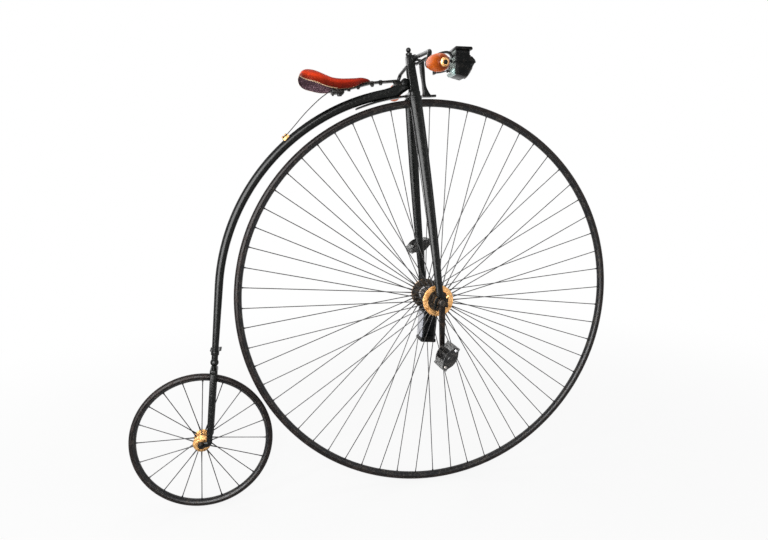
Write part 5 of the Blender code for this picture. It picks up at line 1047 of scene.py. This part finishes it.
saddle_stations = [
    # shares of: the length from the back, the cantle's height, the skirt's depth, the width
    (0, 0.293, 0.056, 0.476), (0.0311, 0.78, 0.333, 0.786), (0.0978, 1, 0.569, 0.964),
    (0.2, 0.878, 0.736, 1), (0.3289, 0.439, 0.944, 0.833), (0.4667, 0.073, 1, 0.571),
    (0.6, 0, 0.944, 0.393), (0.7556, 0.098, 0.75, 0.31), (0.8667, 0.22, 0.431, 0.298),
    (0.9556, 0.049, 0.278, 0.226), (1, -0.171, 0.217, 0.107),
]
first = even([Vector((a, b, c)) for a, b, c, _ in saddle_stations], 7)
wide = even([Vector((d, 0, 0)) for *_, d in saddle_stations], 7)
bm = bmesh.new()
turns = [0, 0.017] + [math.pi * i / 40 for i in range(1, 40)] + [math.pi - 0.017, math.pi]
ACROSS = len(turns)
outer_loops, inner_loops = [], []
for (share, high, low), half in zip(first, wide):
    x = SADDLE_END + SADDLE_LONG * share
    ridge, edge, reach = high * RIDGE_HIGH, -low * SKIRT_DEEP, half.x * SADDLE_HALF
    for loops, inset in ((outer_loops, 0), (inner_loops, min(0.0042, reach * 0.4, (ridge - edge) * 0.4))):
        loop = []
        for turn in turns:
            side = math.copysign(abs(math.cos(turn)) ** 0.62, math.cos(turn))
            up = max(math.sin(turn), 0) ** 0.72
            here = Vector((x, (reach - inset) * side, SEAT + edge + (ridge - edge - inset) * up))
            sag = 0.0009 * noise.noise(here * 26) * up
            loop.append(bm.verts.new(here + Vector((0, 0, sag))))
        loops.append(loop)
count = len(outer_loops)


def quad(kind, *corners):
    bm.faces.new(corners).material_index = kind


for loops, kind in ((outer_loops, 0), (inner_loops, 2)):
    for j, (a, b) in enumerate(zip(loops, loops[1:])):
        for i in range(ACROSS - 1):
            # the wide back part's cut edge is skived to a pale band
            skived = kind == 0 and i in (0, ACROSS - 2) and j < 0.52 * count
            quad(1 if skived else kind, a[i], a[i + 1], b[i + 1], b[i])
for j in range(count - 1):
    for i in (0, ACROSS - 1):
        quad(1, outer_loops[j][i], outer_loops[j + 1][i], inner_loops[j + 1][i], inner_loops[j][i])
for j in (0, count - 1):
    for i in range(ACROSS - 1):
        quad(1, outer_loops[j][i], outer_loops[j][i + 1], inner_loops[j][i + 1], inner_loops[j][i])
leather = shown("saddle_hide", bm, [hide, raw_edge, flesh_side], "frame", "saddle_leather", sharp=70)

iron = finish("worn_black_iron", (0.0028, 0.0028, 0.0026), (0.0125, 0.0098, 0.0078), 75, 0.34, 0.18, 0.46, 0.3,
              Specular_IOR_Level=0.16)
bm = bmesh.new()
plate = [(a, b, e) for (a, b, _, _), e in zip(saddle_stations[2:9], (0.393, 0.417, 0.321, 0.19, 0.143, 0.119, 0.083))]
path = even([Vector((SADDLE_END + SADDLE_LONG * a, 0, SEAT + b * RIDGE_HIGH - 0.01)) for a, b, _ in plate], 6)
sizes = [(v.x, 1) for v in even([Vector((e * 2 * SADDLE_HALF, 0, 0)) for _, _, e in plate], 6)]
sweep(bm, path, [(u, v * 0.003) for u, v in oblong(1, 1, 0.12, 3)], sizes=sizes)
shown("saddle_iron_plate", bm, iron, "frame", "saddle_frame")

# The saddle's spring: one stout steel leaf bolted on the neck's pad, that runs back and down under the saddle to a
# clamp with its bolts. The thin tail leaf goes on to a brass clip on the backbone.


def under(along, skirt):
    """A point under the saddle, by shares of its length and of its skirt's depth."""
    return Vector((SADDLE_END + SADDLE_LONG * along, 0, SEAT - SKIRT_DEEP * skirt))


bm = bmesh.new()
spring_line = [STEER @ Vector((-0.04, 0, CROWN_TOP + 0.0405)), under(1.244, 0.139), under(1.022, 0.292),
               under(0.8, 0.653), under(0.622, 0.903), under(0.467, 1)]
leaf = even(spring_line, 8)
sweep(bm, leaf, oblong(0.026, 0.0062, 0.0016, 3), sizes=[(min(1, 0.72 + 0.07 * i), 1) for i in range(len(leaf))])
eye_on = (spring_line[1] - spring_line[0]).normalized()
eye = at(spring_line[0]) @ Matrix.Rotation(math.atan2(eye_on.z, -eye_on.x), 4, "Y")
stack(bm, oblong(0.0198, 0.023, 0.003), ((-0.0161, 1), (-0.004, 1), (-0.0034, 0.96)),
      lambda u, v, z: eye @ Vector((-0.0085 + v, u, z)))
for along, skirt, thick, low, high in (
    # bolts: shares of length and skirt, stoutness, reach below and above
    (1.1556, 0.158, 1, 0.278, 0.153), (1.0333, 0.278, 1, 0.319, 0.167), (0.8311, 0.603, 1, 0.236, 0.356),
    (0.6978, 0.797, 1.08, 0.236, 0.444), (0.5556, 0.944, 1.31, 0.528, 0.606),
):
    foot, radius, length = under(along, skirt + low), 0.0065 * thick, SKIRT_DEEP * (low + high)
    pin(bm, [(radius * 0.72, 0), (radius * 0.72, length * 0.2), (radius, length * 0.2), (radius, length * 0.42),
             (radius * 0.66, length * 0.44), (radius * 0.66, length * 0.74), (radius, length * 0.76),
             (radius, length * 0.93), (radius * 0.7, length)], at(foot), 24, 0.0007)
clamp = under(0.533, 0.944)
half = ((-0.012, 0.93), (-0.011, 0.985), (-0.0095, 1), (-0.0015, 1), (-0.0008, 0.97))
levels = half + tuple((-z, size) for z, size in reversed(half))
stack(bm, oblong(0.04, 0.04, 0.004, 4), levels, lambda u, v, z: clamp + Vector((u, v, z)))
for x, y in ((a * 0.013, b * 0.013) for a in (-1, 1) for b in (-1, 1)):
    pin(bm, [(0.0034, -0.0165), (0.0034, 0.015), (0.0022, 0.0165)], at(clamp + Vector((x, y, 0))), 6, 0.0006)
for side in (-1, 1):
    # the cross bolt that grips the saddle's rails
    lathe(bm, [(AXIS, 0.018), (0.0062, 0.018), (0.0062, 0.0235), (0.0048, 0.025), (AXIS, 0.0252)],
          at(clamp + Vector((0, 0, -0.001))) @ turn_to(side), 6, blunt=0.0007)
shown("saddle_leaf_spring", bm, iron, "frame", "saddle_spring", sharp=40)

# The tail leaf's brass clip is a block grooved to sit on the tube's ridge; two round-headed screws go through the
# leaf's end into it. The leaf is thin spring steel, nearly straight.
clip_t = 6.5 / 16
clip_middle = FRONT_AXLE @ (backbone_at(clip_t) * 0.9993)
clip_on = (backbone_at(clip_t + 0.01) - backbone_at(clip_t - 0.01)).normalized()
clip_out = Vector((0, 1, 0)).cross(clip_on)
CLIP = at(clip_middle) @ aimed(clip_out)
bm = bmesh.new()
groove = [(x, math.sqrt(0.0148 ** 2 - x ** 2)) for x in (0.01 * i / 8 for i in range(-8, 9))]
block = groove + [(0.01, 0.0178), (0.0096, 0.0188), (0.0085, 0.0193), (-0.0085, 0.0193), (-0.0096, 0.0188),
                  (-0.01, 0.0178)]
skin(bm, [[CLIP @ Vector((x * s, y, z if z < 0.015 else 0.015 + (z - 0.015) * s)) for x, z in block]
          for y, s in ((-0.011, 0.9), (-0.0102, 1), (0.0102, 1), (0.011, 0.9))])
for along in (-0.0055, 0.005):
    lathe(bm, [(AXIS, 0.0188), (0.0026, 0.0188), (0.0026, 0.0224), (0.0046, 0.0224), (0.0046, 0.0244),
               (0.003, 0.0258), (AXIS, 0.026)], CLIP @ at(0, along, 0), 24, blunt=0.0006)
shown("tail_leaf_clip", bm, aged_brass, "frame", "tail_spring_clip")

bm = bmesh.new()
leaf_seat = clip_middle + clip_out * 0.02088
leaf_start = clamp + Vector((-0.0203, 0, -0.00504))
drop = leaf_seat - leaf_start
points = [leaf_start]
for along, down in ((0.03, 0.003), (0.13, 0.075), (0.3, 0.22), (0.57, 0.5), (0.81, 0.79)):
    points.append(leaf_start + Vector((drop.x * along, 0, drop.z * down)))
points += [leaf_seat - clip_on * 0.0088, leaf_seat + clip_on * 0.0088]
sweep(bm, even(points, 7), oblong(0.014, 0.0026, 0.0007, 2))
shown("saddle_tail_leaf", bm, iron, "frame", "saddle_tail_spring")
